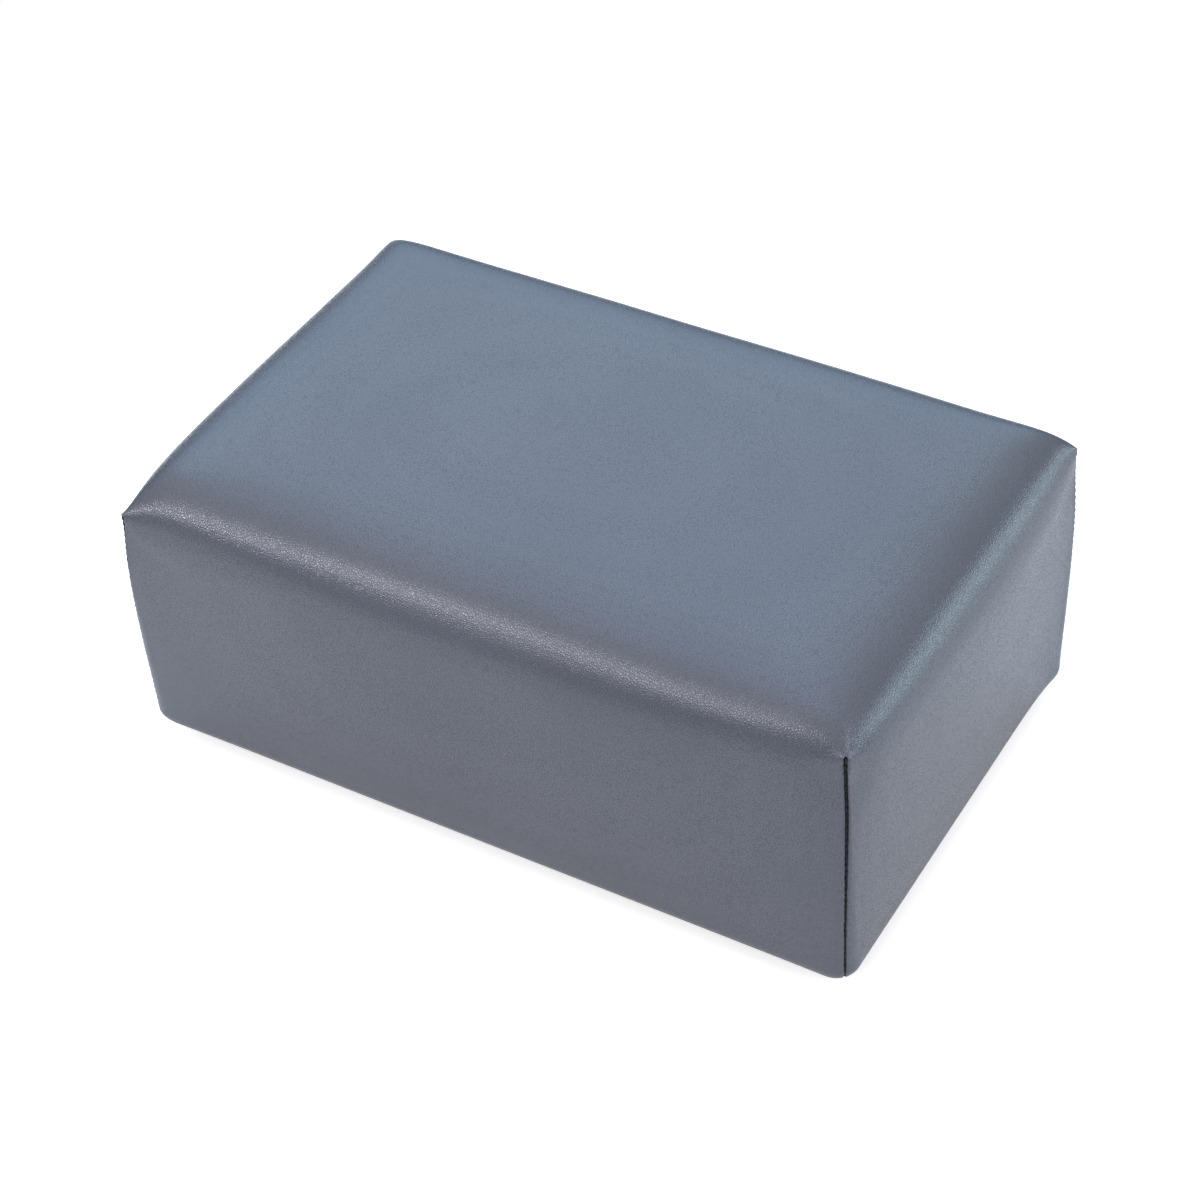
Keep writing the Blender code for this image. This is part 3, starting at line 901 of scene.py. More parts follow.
def cutAway(piece, cutter, name, selfCrossing=False):
    # the piece less the cutter, which is removed
    cut = piece.modifiers.new("cut", "BOOLEAN")
    cut.operation = "DIFFERENCE"
    cut.solver = "EXACT"
    cut.use_self = selfCrossing
    cut.object = cutter
    plain = plainPiece(piece, name)
    bpy.data.objects.remove(cutter, do_unlink=True)
    return plain


def ringFaces(rings, sides):
    # the faces between rings of as many points, which follow each other in the mesh
    faces = []
    for ring in range(rings - 1):
        low, high = ring * sides, (ring + 1) * sides
        for k in range(sides):
            after = (k + 1) % sides
            faces.append((low + k, low + after, high + after, high + k))
    return faces


def bodyPiece(piece, slot, *nodes):
    # every piece rides on the one body and stands for its CAD nodes
    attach(piece, "root")
    if nodes:
        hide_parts(*nodes)


# How the sewn cloth settles: it is drawn tight between its seams and its hem while the foam pushes back

settling = {
    "lengthCells": 52,
    "widthCells": 34,
    "sideRows": 20,
    "crowding": 1.25,
    "frames": 22,
    "quality": 6,
    "mass": 0.3,
    "shrink": 0.003,
    "pressure": 8.0,
    "foamGrip": 0.22,
    "tension": 30.0,
    "bending": 1.5,
    "limit": 1.4 * mm,
}


def settleCloth(sizes):
    # runs the cloth on a coarse skin. Gives each point's move over the side rows and over the top's grid.
    along = spreadSteps(sizes["lengthCells"], sizes["crowding"])
    across = spreadSteps(sizes["widthCells"], sizes["crowding"])
    outline = perimeter(along, across)
    levels = np.linspace(0, 1, sizes["sideRows"] + 1)
    loops = [sidePoints(outline, form["bottomRoll"], share, 0.0) for share in levels]
    points, faces = shellMesh(loops, topPoints(along, across))
    skin = newPiece("settlingSkin", points, faces, leatherclothSkin)
    count = len(outline)
    cornerColumns = [k for k in range(count) if abs(outline[k]).min() == 1]
    sewn = [row * count + k for row in range(len(loops)) for k in cornerColumns]
    held = skin.vertex_groups.new(name="held")
    held.add(list(range(len(points))), sizes["foamGrip"], "REPLACE")
    held.add(list(range(count)) + sewn, 1.0, "REPLACE")
    cloth = skin.modifiers.new("settling", "CLOTH")
    fabric = cloth.settings
    fabric.quality = sizes["quality"]
    fabric.mass = sizes["mass"]
    fabric.tension_stiffness = sizes["tension"]
    fabric.compression_stiffness = sizes["tension"]
    fabric.shear_stiffness = sizes["tension"] / 2
    fabric.bending_stiffness = sizes["bending"]
    fabric.vertex_group_mass = "held"
    fabric.pin_stiffness = 1.0
    fabric.shrink_min = sizes["shrink"]
    fabric.use_pressure = True
    fabric.uniform_pressure_force = sizes["pressure"]
    fabric.effector_weights.gravity = 0.0
    cloth.collision_settings.use_collision = False
    cloth.point_cache.frame_start = 1
    cloth.point_cache.frame_end = sizes["frames"]
    for frameNumber in range(1, sizes["frames"] + 1):
        scene.frame_set(frameNumber)
    evaluated = skin.evaluated_get(bpy.context.evaluated_depsgraph_get())
    settled = np.array([vertex.co[:] for vertex in evaluated.data.vertices])
    scene.frame_set(1)
    bpy.data.objects.remove(skin, do_unlink=True)
    moves = settled - points
    length = np.linalg.norm(moves, axis=1, keepdims=True)
    print("cloth settled: largest move", round(float(length.max()) / mm, 2), "mm, mean",
          round(float(length.mean()) / mm, 2), "mm")
    moves *= sizes["limit"] / (sizes["limit"] + length)
    index = gridIndex(len(loops), count, (len(along), len(across)))
    sides = moves[:len(loops) * count].reshape(len(loops), count, 3)
    return {
        "along": along,
        "across": across,
        "round": roundShares(outline),
        "levels": levels,
        "sides": np.concatenate([sides, sides[:, :1]], axis=1),
        "top": moves[index],
    }


def roundShares(outline):
    # how far round the outline each of its points lies, from 0 to 4, with the first point again at 4
    u, v = outline[:, 0], outline[:, 1]
    front = np.where((v == -1) & (u < 1), (u + 1) / 2, 0)
    right = np.where((u == 1) & (v < 1), 1 + (v + 1) / 2, 0)
    back = np.where((v == 1) & (u > -1), 2 + (1 - u) / 2, 0)
    left = np.where((u == -1) & (v > -1), 3 + (1 - v) / 2, 0)
    return np.append(front + right + back + left, 4.0)


def cubicWeights(known, wanted):
    # weights that carry values from one row of steps to another along smooth curves
    spot = np.interp(wanted, known, np.arange(len(known)))
    first = np.clip(np.floor(spot).astype(int), 0, len(known) - 2)
    t = spot - first
    weights = np.zeros((len(wanted), len(known)))
    shares = (
        (-1, -0.5 * t + t ** 2 - 0.5 * t ** 3),
        (0, 1 - 2.5 * t ** 2 + 1.5 * t ** 3),
        (1, 0.5 * t + 2 * t ** 2 - 1.5 * t ** 3),
        (2, -0.5 * t ** 2 + 0.5 * t ** 3),
    )
    for offset, share in shares:
        np.add.at(weights, (np.arange(len(wanted)), np.clip(first + offset, 0, len(known) - 1)), share)
    return weights


clothMoves = settleCloth(settling)


# The cover

cover = {
    "lengthCells": 96,
    "widthCells": 70,
    "crowding": 2.0,
    "rollRows": 8,
    "sideRows": 118,
    "innerSideRows": 26,
    "hemRows": 6,
    "seamWidthTop": 1.15 * mm,  # half the width of the sewn valley
    "seamWidthBottom": 0.65 * mm,
    "seamDepth": 1.4 * mm,
    "stitchPitch": 4 * mm,
    "stitchPinch": 0.12,  # how much narrower the valley is at a stitch, and how uneven its width
    "unevenWidth": 0.25,
    "unevenScale": 400,
    "puckerWidth": 3.2 * mm,
    "puckerDepth": 0.18 * mm,
    "unevenPucker": 0.8,
    "hemValley": 0.25,  # its depth and its shadow under the box, as shares of those above
    "hemShadow": 0.4,
    "shadowGain": 2.0,
    "shadowStart": 0.15,
    "creaseAngle": 62,
    "fill": 0.92,
}


def skinRows(sizes, inward, rollRows, sideRows):
    # loops from the hem's bend up to the shoulder line, and the top's grid, as the cloth has settled
    along = spreadSteps(sizes["lengthCells"], sizes["crowding"])
    across = spreadSteps(sizes["widthCells"], sizes["crowding"])
    outline = perimeter(along, across)
    roll = form["bottomRoll"]
    small = roll - inward
    loops = []
    for turn in np.linspace(0, math.pi / 2, rollRows + 1)[:-1]:
        base, inset = roll - small * math.cos(turn), small * (1 - math.sin(turn))
        loops.append(sidePoints(outline, base, 0.0, inset, inward))
    levels = np.linspace(0, 1, sideRows + 1)
    sides = np.array([sidePoints(outline, roll, share, 0.0, inward) for share in levels])
    grid = topPoints(along, across, inward)
    if clothMoves:
        upward = cubicWeights(clothMoves["levels"], levels)
        aroundIt = cubicWeights(clothMoves["round"], roundShares(outline)[:-1])
        sides += np.einsum("ab,bcd,ec->aed", upward, clothMoves["sides"], aroundIt)
        lengthwise = cubicWeights(clothMoves["along"], along)
        crosswise = cubicWeights(clothMoves["across"], across)
        grid += np.einsum("ab,bcd,ec->aed", lengthwise, clothMoves["top"], crosswise)
    return outline, loops + list(sides), grid


def hemLoops(outline, inward, rows):
    # the part turned under the box, from its inner edge out to the bend
    loops = []
    for width in np.linspace(form["hemWidth"], form["bottomRoll"], rows + 1)[:-1]:
        share = (width - form["bottomRoll"]) / (form["hemWidth"] - form["bottomRoll"])
        flat = sidePoints(outline, inward, 0.0, width - inward, inward)
        square = outline * (np.array([halfLength, halfWidth]) - width)
        flat[:, :2] = flat[:, :2] * (1 - share) + square * share
        loops.append(flat)
    return loops


def coverWall(sizes, inward, sideRows):
    outline, loops, grid = skinRows(sizes, inward, sizes["rollRows"], sideRows)
    return outline, hemLoops(outline, inward, sizes["hemRows"]) + loops, grid


def makeCover(sizes):
    outline, loops, grid = coverWall(sizes, 0.0, sizes["sideRows"])
    outerPoints, outerFaces = shellMesh(loops, grid)
    outerPoints = shapeCloth(outerPoints)
    innerLoops, innerGrid = coverWall(sizes, form["clothThickness"], sizes["innerSideRows"])[1:]
    innerPoints, innerFaces = shellMesh(innerLoops, innerGrid)
    innerPoints = shapeCloth(innerPoints, form["clothThickness"])
    # the sewn valley down each corner, which the stitches pinch at their own pitch
    count = len(outline)
    sideEnd = len(loops) * count
    rows = np.repeat(np.arange(len(loops)), count)
    shares = np.tile(outline, (len(loops), 1))
    endGap = (1 - np.abs(shares[:, 0])) * halfLength
    sideGap = (1 - np.abs(shares[:, 1])) * halfWidth
    gap = np.where(np.abs(shares[:, 0]) == 1, sideGap, endGap)
    height = outerPoints[:sideEnd, 2] - coverBase
    rise = np.clip(height / form["cornerHeight"], 0, 1)
    pinch = np.cos(height / sizes["stitchPitch"] * 2 * math.pi)
    scaled = outerPoints[:sideEnd] * sizes["unevenScale"]
    uneven = np.array([noise.noise(Vector(point)) for point in scaled])
    width = sizes["seamWidthBottom"] + (sizes["seamWidthTop"] - sizes["seamWidthBottom"]) * rise
    width = width * (1 + sizes["stitchPinch"] * pinch + sizes["unevenWidth"] * uneven)
    valley = np.exp(-(gap / width) ** 2)
    inHem = rows < sizes["hemRows"]
    depth = np.where(inHem, sizes["hemValley"], 1.0) * sizes["seamDepth"] * valley
    ridges = np.exp(-(gap / sizes["puckerWidth"]) ** 2) * (1 - valley) * sizes["puckerDepth"]
    depth = depth + np.where(inHem, 0, 1) * ridges * (pinch + sizes["unevenPucker"] * uneven)
    diagonal = -np.sign(shares) / math.sqrt(2)
    outerPoints[:sideEnd, :2] += diagonal * np.where(inHem, 0, depth)[:, None]
    outerPoints[:sideEnd, 2] += np.where(inHem, depth, 0)
    shade = np.zeros(len(outerPoints) + len(innerPoints))
    shadow = np.clip(valley * sizes["shadowGain"] - sizes["shadowStart"], 0, 1)
    shade[:sideEnd] = shadow * np.where(inHem, sizes["hemShadow"], 1)
    # both walls as one closed shell
    offset = len(outerPoints)
    faces = list(outerFaces)
    faces += [tuple(offset + k for k in reversed(face)) for face in innerFaces]
    faces += [(offset + c, offset + (c + 1) % count, (c + 1) % count, c) for c in range(count)]
    points = np.concatenate([outerPoints, innerPoints])
    piece = newPiece("leathercloth_cover", points, faces, leatherclothSkin, sizes["creaseAngle"])
    seamShade = piece.data.attributes.new("seamShade", "FLOAT", "POINT")
    seamShade.data.foreach_set("value", shade.astype(np.float32))
    bodyPiece(piece, "leathercloth", "vinyl_cover")
    return piece


coverPiece = makeCover(cover)
print("cover made:", len(coverPiece.data.polygons), "faces")


# What repeats along an edge: stitches and staples, set out by Geometry Nodes

def scatterTree():
    tree = bpy.data.node_groups.new("piecesAlongEdge", "GeometryNodeTree")
    sockets = (
        ("Path", "NodeSocketGeometry"),
        ("Piece", "NodeSocketObject"),
        ("Pitch", "NodeSocketFloat"),
        ("Facing", "NodeSocketVector"),
        ("Wobble", "NodeSocketFloat"),
        ("Stray", "NodeSocketFloat"),
        ("Seed", "NodeSocketInt"),
        ("Material", "NodeSocketMaterial"),
    )
    for name, kind in sockets:
        tree.interface.new_socket(name, in_out="INPUT", socket_type=kind)
    tree.interface.new_socket("Pieces", in_out="OUTPUT", socket_type="NodeSocketGeometry")
    given = addNode(tree, "NodeGroupInput").outputs
    curve = addNode(tree, "GeometryNodeMeshToCurve", {"Mesh": given["Path"]}).outputs[0]
    spots = addNode(
        tree, "GeometryNodeCurveToPoints", {"Curve": curve, "Length": given["Pitch"]}, mode="LENGTH"
    ).outputs
    lengthwise = addNode(
        tree, "FunctionNodeAlignRotationToVector", {"Vector": spots["Tangent"]}, axis="Z"
    ).outputs[0]
    facing = addNode(
        tree,
        "FunctionNodeAlignRotationToVector",
        {"Rotation": lengthwise, "Vector": given["Facing"]},
        axis="X",
        pivot_axis="Z",
    ).outputs[0]
    tilt = addNode(tree, "ShaderNodeMath", {0: given["Wobble"], 1: -1.0}, operation="MULTIPLY").outputs[0]
    twist = addNode(
        tree,
        "FunctionNodeRandomValue",
        {2: tilt, 3: given["Wobble"], "Seed": given["Seed"]},
        data_type="FLOAT",
    ).outputs[1]
    turnedBy = addNode(tree, "ShaderNodeCombineXYZ", {"X": twist}).outputs[0]
    turn = addNode(tree, "FunctionNodeEulerToRotation", {"Euler": turnedBy}).outputs[0]
    rotation = addNode(
        tree, "FunctionNodeRotateRotation", {"Rotation": facing, "Rotate By": turn}, rotation_space="LOCAL"
    ).outputs[0]
    onePiece = addNode(tree, "GeometryNodeObjectInfo", {"Object": given["Piece"]}).outputs["Geometry"]
    placed = addNode(
        tree,
        "GeometryNodeInstanceOnPoints",
        {"Points": spots["Points"], "Instance": onePiece, "Rotation": rotation},
    ).outputs[0]
    back = addNode(tree, "ShaderNodeMath", {0: given["Stray"], 1: -1.0}, operation="MULTIPLY").outputs[0]
    shiftSeed = addNode(  # any other seed will do
        tree, "ShaderNodeMath", {0: given["Seed"], 1: 17.0}, operation="ADD"
    ).outputs[0]
    shift = addNode(
        tree,
        "FunctionNodeRandomValue",
        {2: back, 3: given["Stray"], "Seed": shiftSeed},
        data_type="FLOAT",
    ).outputs[1]
    offset = addNode(tree, "ShaderNodeCombineXYZ", {"Z": shift}).outputs[0]
    strayed = addNode(
        tree, "GeometryNodeTranslateInstances", {"Instances": placed, "Translation": offset}
    ).outputs[0]
    solid = addNode(tree, "GeometryNodeRealizeInstances", {"Geometry": strayed}).outputs[0]
    coated = addNode(
        tree, "GeometryNodeSetMaterial", {"Geometry": solid, "Material": given["Material"]}
    ).outputs[0]
    addNode(tree, "NodeGroupOutput", {"Pieces": coated})
    return tree


alongEdge = scatterTree()


def scatter(name, runs, onePiece, inputs):
    # copies of a small piece along runs of points, as one plain mesh
    points = [point for run in runs for point in run]
    edges = []
    start = 0
    for run in runs:
        edges += [(start + k, start + k + 1) for k in range(len(run) - 1)]
        start += len(run)
    mesh = bpy.data.meshes.new(name)
    mesh.from_pydata([tuple(point) for point in points], edges, [])
    path = looseObject(name, mesh)
    modifier = path.modifiers.new("alongEdge", "NODES")
    modifier.node_group = alongEdge
    sockets = [item for item in alongEdge.interface.items_tree if item.in_out == "INPUT"]
    identifiers = {item.name: item.identifier for item in sockets}
    for socket, value in {"Piece": onePiece, **inputs}.items():
        modifier[identifiers[socket]] = value
    return plainPiece(path, name)


def cordMesh(name, centers, sizes):
    # a twisted cord: its section has one lobe for each ply, and turns on the way
    centers = np.array(centers, dtype=float)
    sides = sizes["sides"]
    tangents = np.gradient(centers, axis=0)
    tangents /= np.linalg.norm(tangents, axis=1, keepdims=True)
    level = np.cross(tangents, [0.0, 1.0, 0.0])
    level /= np.linalg.norm(level, axis=1, keepdims=True)
    upright = np.cross(tangents, level)
    around = np.linspace(0, 2 * math.pi, sides, endpoint=False)
    points = []
    for step, center in enumerate(centers):
        share = step / (len(centers) - 1)
        turned = around + sizes["turns"] * 2 * math.pi * share
        lobes = sizes["radius"] * (1 + sizes["plyRelief"] * np.cos(sizes["plies"] * around))
        lobes *= 1 - sizes["taper"] * abs(2 * share - 1) ** 4
        ring = np.cos(turned)[:, None] * level[step] + np.sin(turned)[:, None] * upright[step]
        points += list(center + ring * lobes[:, None])
    faces = ringFaces(len(centers), sides)
    last = (len(centers) - 1) * sides
    faces.append(tuple(range(sides))[::-1])
    faces.append(tuple(last + k for k in range(sides)))
    mesh = bpy.data.meshes.new(name)
    mesh.from_pydata([tuple(point) for point in points], [], faces)
    mesh.shade_smooth()
    mesh.update()
    return mesh


# The corner seams' stitches, each a short run of thread that dips into the seam at both ends

stitches = {
    "pitch": 4 * mm,
    "length": 3.85 * mm,
    "radius": 0.4 * mm,
    "plies": 3,
    "plyRelief": 0.16,
    "turns": 1.6,
    "taper": 0.25,
    "dip": 0.5 * mm,
    "depth": 0.74 * mm,  # of the thread's middle below the corner's edge
    "wobble": 0.12,
    "stray": 0.06 * mm,
    "firstSeed": 11,
    "rings": 12,
    "sides": 12,
    "pathPoints": 60,
    "end": 2 * mm,  # left free below the corner's point
}


def makeStitches(sizes):
    half = sizes["length"] / 2
    steps = np.linspace(-1, 1, sizes["rings"])
    centers = [(-sizes["dip"] * abs(step) ** 3, 0, half * step) for step in steps]
    mesh = cordMesh("oneStitch", centers, sizes)
    mesh.materials.append(sewingThread)
    stitch = looseObject("oneStitch", mesh)
    for number, (corner, (along, across)) in enumerate(corners.items()):
        outline = np.array([(float(along), float(across))])
        shares = np.linspace(0, 1, sizes["pathPoints"])
        rows = [sidePoints(outline, form["bottomRoll"], share, 0.0)[0] for share in shares]
        run = shapeCloth(np.array(rows))
        run[:, :2] -= np.array([along, across]) * sizes["depth"] / math.sqrt(2)
        heights = run[:, 2]
        inside = (heights < heights[-1] - sizes["end"]) & (heights > heights[0])
        piece = scatter(
            "seam_stitches_" + corner,
            [run[inside]],
            stitch,
            {
                "Pitch": sizes["pitch"],
                "Facing": (along, across, 0.0),
                "Wobble": sizes["wobble"],
                "Stray": sizes["stray"],
                "Seed": sizes["firstSeed"] + number,
                "Material": sewingThread,
            },
        )
        bodyPiece(piece, "thread", "seam_thread_" + corner)
    bpy.data.objects.remove(stitch, do_unlink=True)


makeStitches(stitches)
print("seams stitched")


# The foam under the cover: a seat pad on the deck and a sheet on each side, cut from the same form

padding = {
    "lengthCells": 44,
    "widthCells": 32,
    "crowding": 1.7,
    "rollRows": 3,
    "sideRows": 14,
    "inward": 2.1 * mm,
    "creaseAngle": 50,
    "fill": 0.95,
}


def makeFoams(sizes):
    loops, grid = skinRows(sizes, sizes["inward"], sizes["rollRows"], sizes["sideRows"])[1:]
    points, faces = shellMesh(loops, grid)
    points = shapeCloth(points, sizes["inward"])
    faces.append(tuple(reversed(range(len(loops[0])))))
    # each piece's name, and the axis and side of its inner face
    nodes = {
        "top_foam_pad": ("seat_foam", (2, 0)),
        "front_foam": ("front_foam_sheet", (1, 1)),
        "back_foam": ("back_foam_sheet", (1, 0)),
        "left_end_foam": ("left_foam_sheet", (0, 1)),
        "right_end_foam": ("right_foam_sheet", (0, 0)),
    }
    for node, (name, (innerAxis, innerSide)) in nodes.items():
        low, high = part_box(node)
        cuts = [(2, 0, low.z), (2, 1, high.z), (innerAxis, innerSide, (low, high)[innerSide][innerAxis])]
        if innerAxis == 0:
            cuts += [(1, 0, low.y), (1, 1, high.y)]
        if innerAxis == 2:
            cuts = [(2, 0, low.z)]
        block = bmesh.new()
        verts = [block.verts.new(point) for point in points]
        for face in faces:
            block.faces.new([verts[k] for k in face])
        for axis, side, level in cuts:
            normal = Vector((0, 0, 0))
            normal[axis] = 1 if side else -1
            spot = Vector((0, 0, 0))
            spot[axis] = level
            everything = [*block.verts, *block.edges, *block.faces]
            cut = bmesh.ops.bisect_plane(
                block, geom=everything, dist=tiny, plane_co=spot, plane_no=normal, clear_outer=True
            )
            rim = [item for item in cut["geom_cut"] if isinstance(item, bmesh.types.BMEdge)]
            bmesh.ops.contextual_create(block, geom=rim)
        bmesh.ops.recalc_face_normals(block, faces=block.faces)
        mesh = solidMesh(name, block)
        mesh.materials.append(openCellFoam)
        smoothShade(mesh, sizes["creaseAngle"])
        piece = looseObject(name, mesh)
        bodyPiece(piece, "foam", node)


makeFoams(padding)
print("foam cut")


# The plywood box and its posts keep their CAD meshes, with a little of each arris sanded off

arris = {"width": 0.5 * mm, "segments": 2, "angle": 60}
screwCount = 6  # in the deck, and as many in the base
boards = {  # the axis of each board's thickness
    "top_deck": 2,
    "base_board": 2,
    "front_board": 1,
    "back_board": 1,
    "left_end_board": 0,
    "right_end_board": 0,
    "centre_divider": 0,
}


def coatNode(name, material):
    piece = bpy.data.objects[name]
    piece.data.materials.clear()
    piece.data.materials.append(material)
    return piece


def sandArrises(piece):
    bevel = piece.modifiers.new("sandedArris", "BEVEL")
    bevel.width = arris["width"]
    bevel.segments = arris["segments"]
    bevel.limit_method = "ANGLE"
    bevel.angle_limit = math.radians(arris["angle"])


def dressWood():
    for name, axis in boards.items():
        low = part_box(name)[0]
        sandArrises(coatNode(name, makePlywood(birch, "birchPlywood_" + name, axis, low[axis])))
    for corner in corners:
        sandArrises(coatNode("corner_post_" + corner, planedPine))
    for kind in ("deck_screw", "base_screw"):
        for number in range(1, screwCount + 1):
            coatNode(f"{kind}_{number}", zincPlate)


dressWood()
print("wood dressed")


# The underside: the sheet that closes it, its staples, and those that hold the cover's hem beneath it

sheetForm = {
    "cells": 3.1 * mm,
    "foldWidth": 13 * mm,
    "foldStep": 0.22 * mm,
    "foldEdge": 0.8 * mm,
    "foldGrowth": 4,  # how much faster than the sag the fold grows, away from a foot and from the edge
    "wrinkle": 0.35 * mm,
    "wrinkleWidth": 34 * mm,
    "wrinkleSeed": Vector((4.1, 7.7, 0)),
    "slack": 0.55,  # the sheet's mean sag and its most, in wrinkles
    "mostSag": 1.3,
    "footReach": 14 * mm,  # over which the sheet comes free of a foot, and of its own edge
    "edgeReach": 10 * mm,
    "staplePull": 0.3 * mm,
    "pullWidth": 7 * mm,
    "pullReach": 12 * mm,
    "clearHole": 2.1 * mm,
    "holeDepth": 10 * mm,
    "holeSides": 24,
    "creaseAngle": 50,
}
staples = {
    "crown": 11 * mm,
    "leg": 5.5 * mm,
    "wire": 0.5 * mm,
    "wireWidth": 0.95 * mm,
    "bend": 0.7 * mm,
    "pitch": 33 * mm,
    "inset": 6.5 * mm,  # from the dust cover's edge
    "hemInset": 29 * mm,  # from the box's edge
    "hemPitch": 21 * mm,
    "cornerGap": 16 * mm,
    "hemCornerGap": 22 * mm,
    "sunk": 0.4,  # where the wire's middle lies below the sheet and above the hem's face, in wires
    "hemSunk": 0.2,
    "wobble": 0.10,
    "stray": 1.2 * mm,
    "seed": 3,
    "hemSeed": 5,
    "bendSteps": 5,
    "creaseAngle": 30,
}


def rectangleRuns(halfX, halfY, level, short):
    # four straight runs that stop short of the rectangle's corners
    x, y = halfX - short, halfY - short
    return [
        [(-x, -halfY, level), (x, -halfY, level)],
        [(halfX, -y, level), (halfX, y, level)],
        [(x, halfY, level), (-x, halfY, level)],
        [(-halfX, y, level), (-halfX, -y, level)],
    ]


def stapleObject(sizes):
    # a staple whose crown runs along Z and faces X, which the scatter turns towards the floor
    half, leg, bend = sizes["crown"] / 2, sizes["leg"], sizes["bend"]
    centers = [(-leg, -half), (-bend, -half)]
    centers += [
        (-bend + bend * math.sin(turn), -half + bend - bend * math.cos(turn))
        for turn in np.linspace(0, math.pi / 2, sizes["bendSteps"])[1:]
    ]
    centers += [(x, -z) for x, z in reversed(centers)]
    centers = np.array(centers)
    tangents = np.gradient(centers, axis=0)
    tangents /= np.linalg.norm(tangents, axis=1, keepdims=True)
    normals = np.stack([tangents[:, 1], -tangents[:, 0]], axis=1)
    points = []
    for center, normal in zip(centers, normals):
        for side, across in ((1, 1), (1, -1), (-1, -1), (-1, 1)):
            x, z = center + normal * side * sizes["wire"] / 2
            points.append((x, across * sizes["wireWidth"] / 2, z))
    faces = ringFaces(len(centers), 4)
    last = len(points) - 4
    faces += [(3, 2, 1, 0), (last, last + 1, last + 2, last + 3)]
    staple = newPiece("oneStaple", points, faces, zincPlate, sizes["creaseAngle"])
    fixNormals(staple.data)
    return staple


def fixNormals(mesh):
    solid = bmesh.new()
    solid.from_mesh(mesh)
    bmesh.ops.recalc_face_normals(solid, faces=solid.faces)
    solid.to_mesh(mesh)
    solid.free()


def makeStaples(sizes):
    staple = stapleObject(sizes)
    sheetLow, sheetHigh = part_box("bottom_dust_cover")
    crownLevel = sheetLow.z - sizes["wire"] * sizes["sunk"]
    hemLevel = coverBase + sizes["wire"] * sizes["hemSunk"]
    inset, hemInset = sizes["inset"], sizes["hemInset"]
    outer = rectangleRuns(sheetHigh.x - inset, sheetHigh.y - inset, crownLevel, sizes["cornerGap"])
    inner = rectangleRuns(halfLength - hemInset, halfWidth - hemInset, hemLevel, sizes["hemCornerGap"])
    for name, runs, pitch, seed in (
        ("dust_cover_staples", outer, sizes["pitch"], sizes["seed"]),
        ("hem_staples", inner, sizes["hemPitch"], sizes["hemSeed"]),
    ):
        piece = scatter(
            name,
            runs,
            staple,
            {
                "Pitch": pitch,
                "Facing": (0.0, 0.0, -1.0),
                "Wobble": sizes["wobble"],
                "Stray": sizes["stray"],
                "Seed": seed,
                "Material": zincPlate,
            },
        )
        bodyPiece(piece, "steel")
    bpy.data.objects.remove(staple, do_unlink=True)


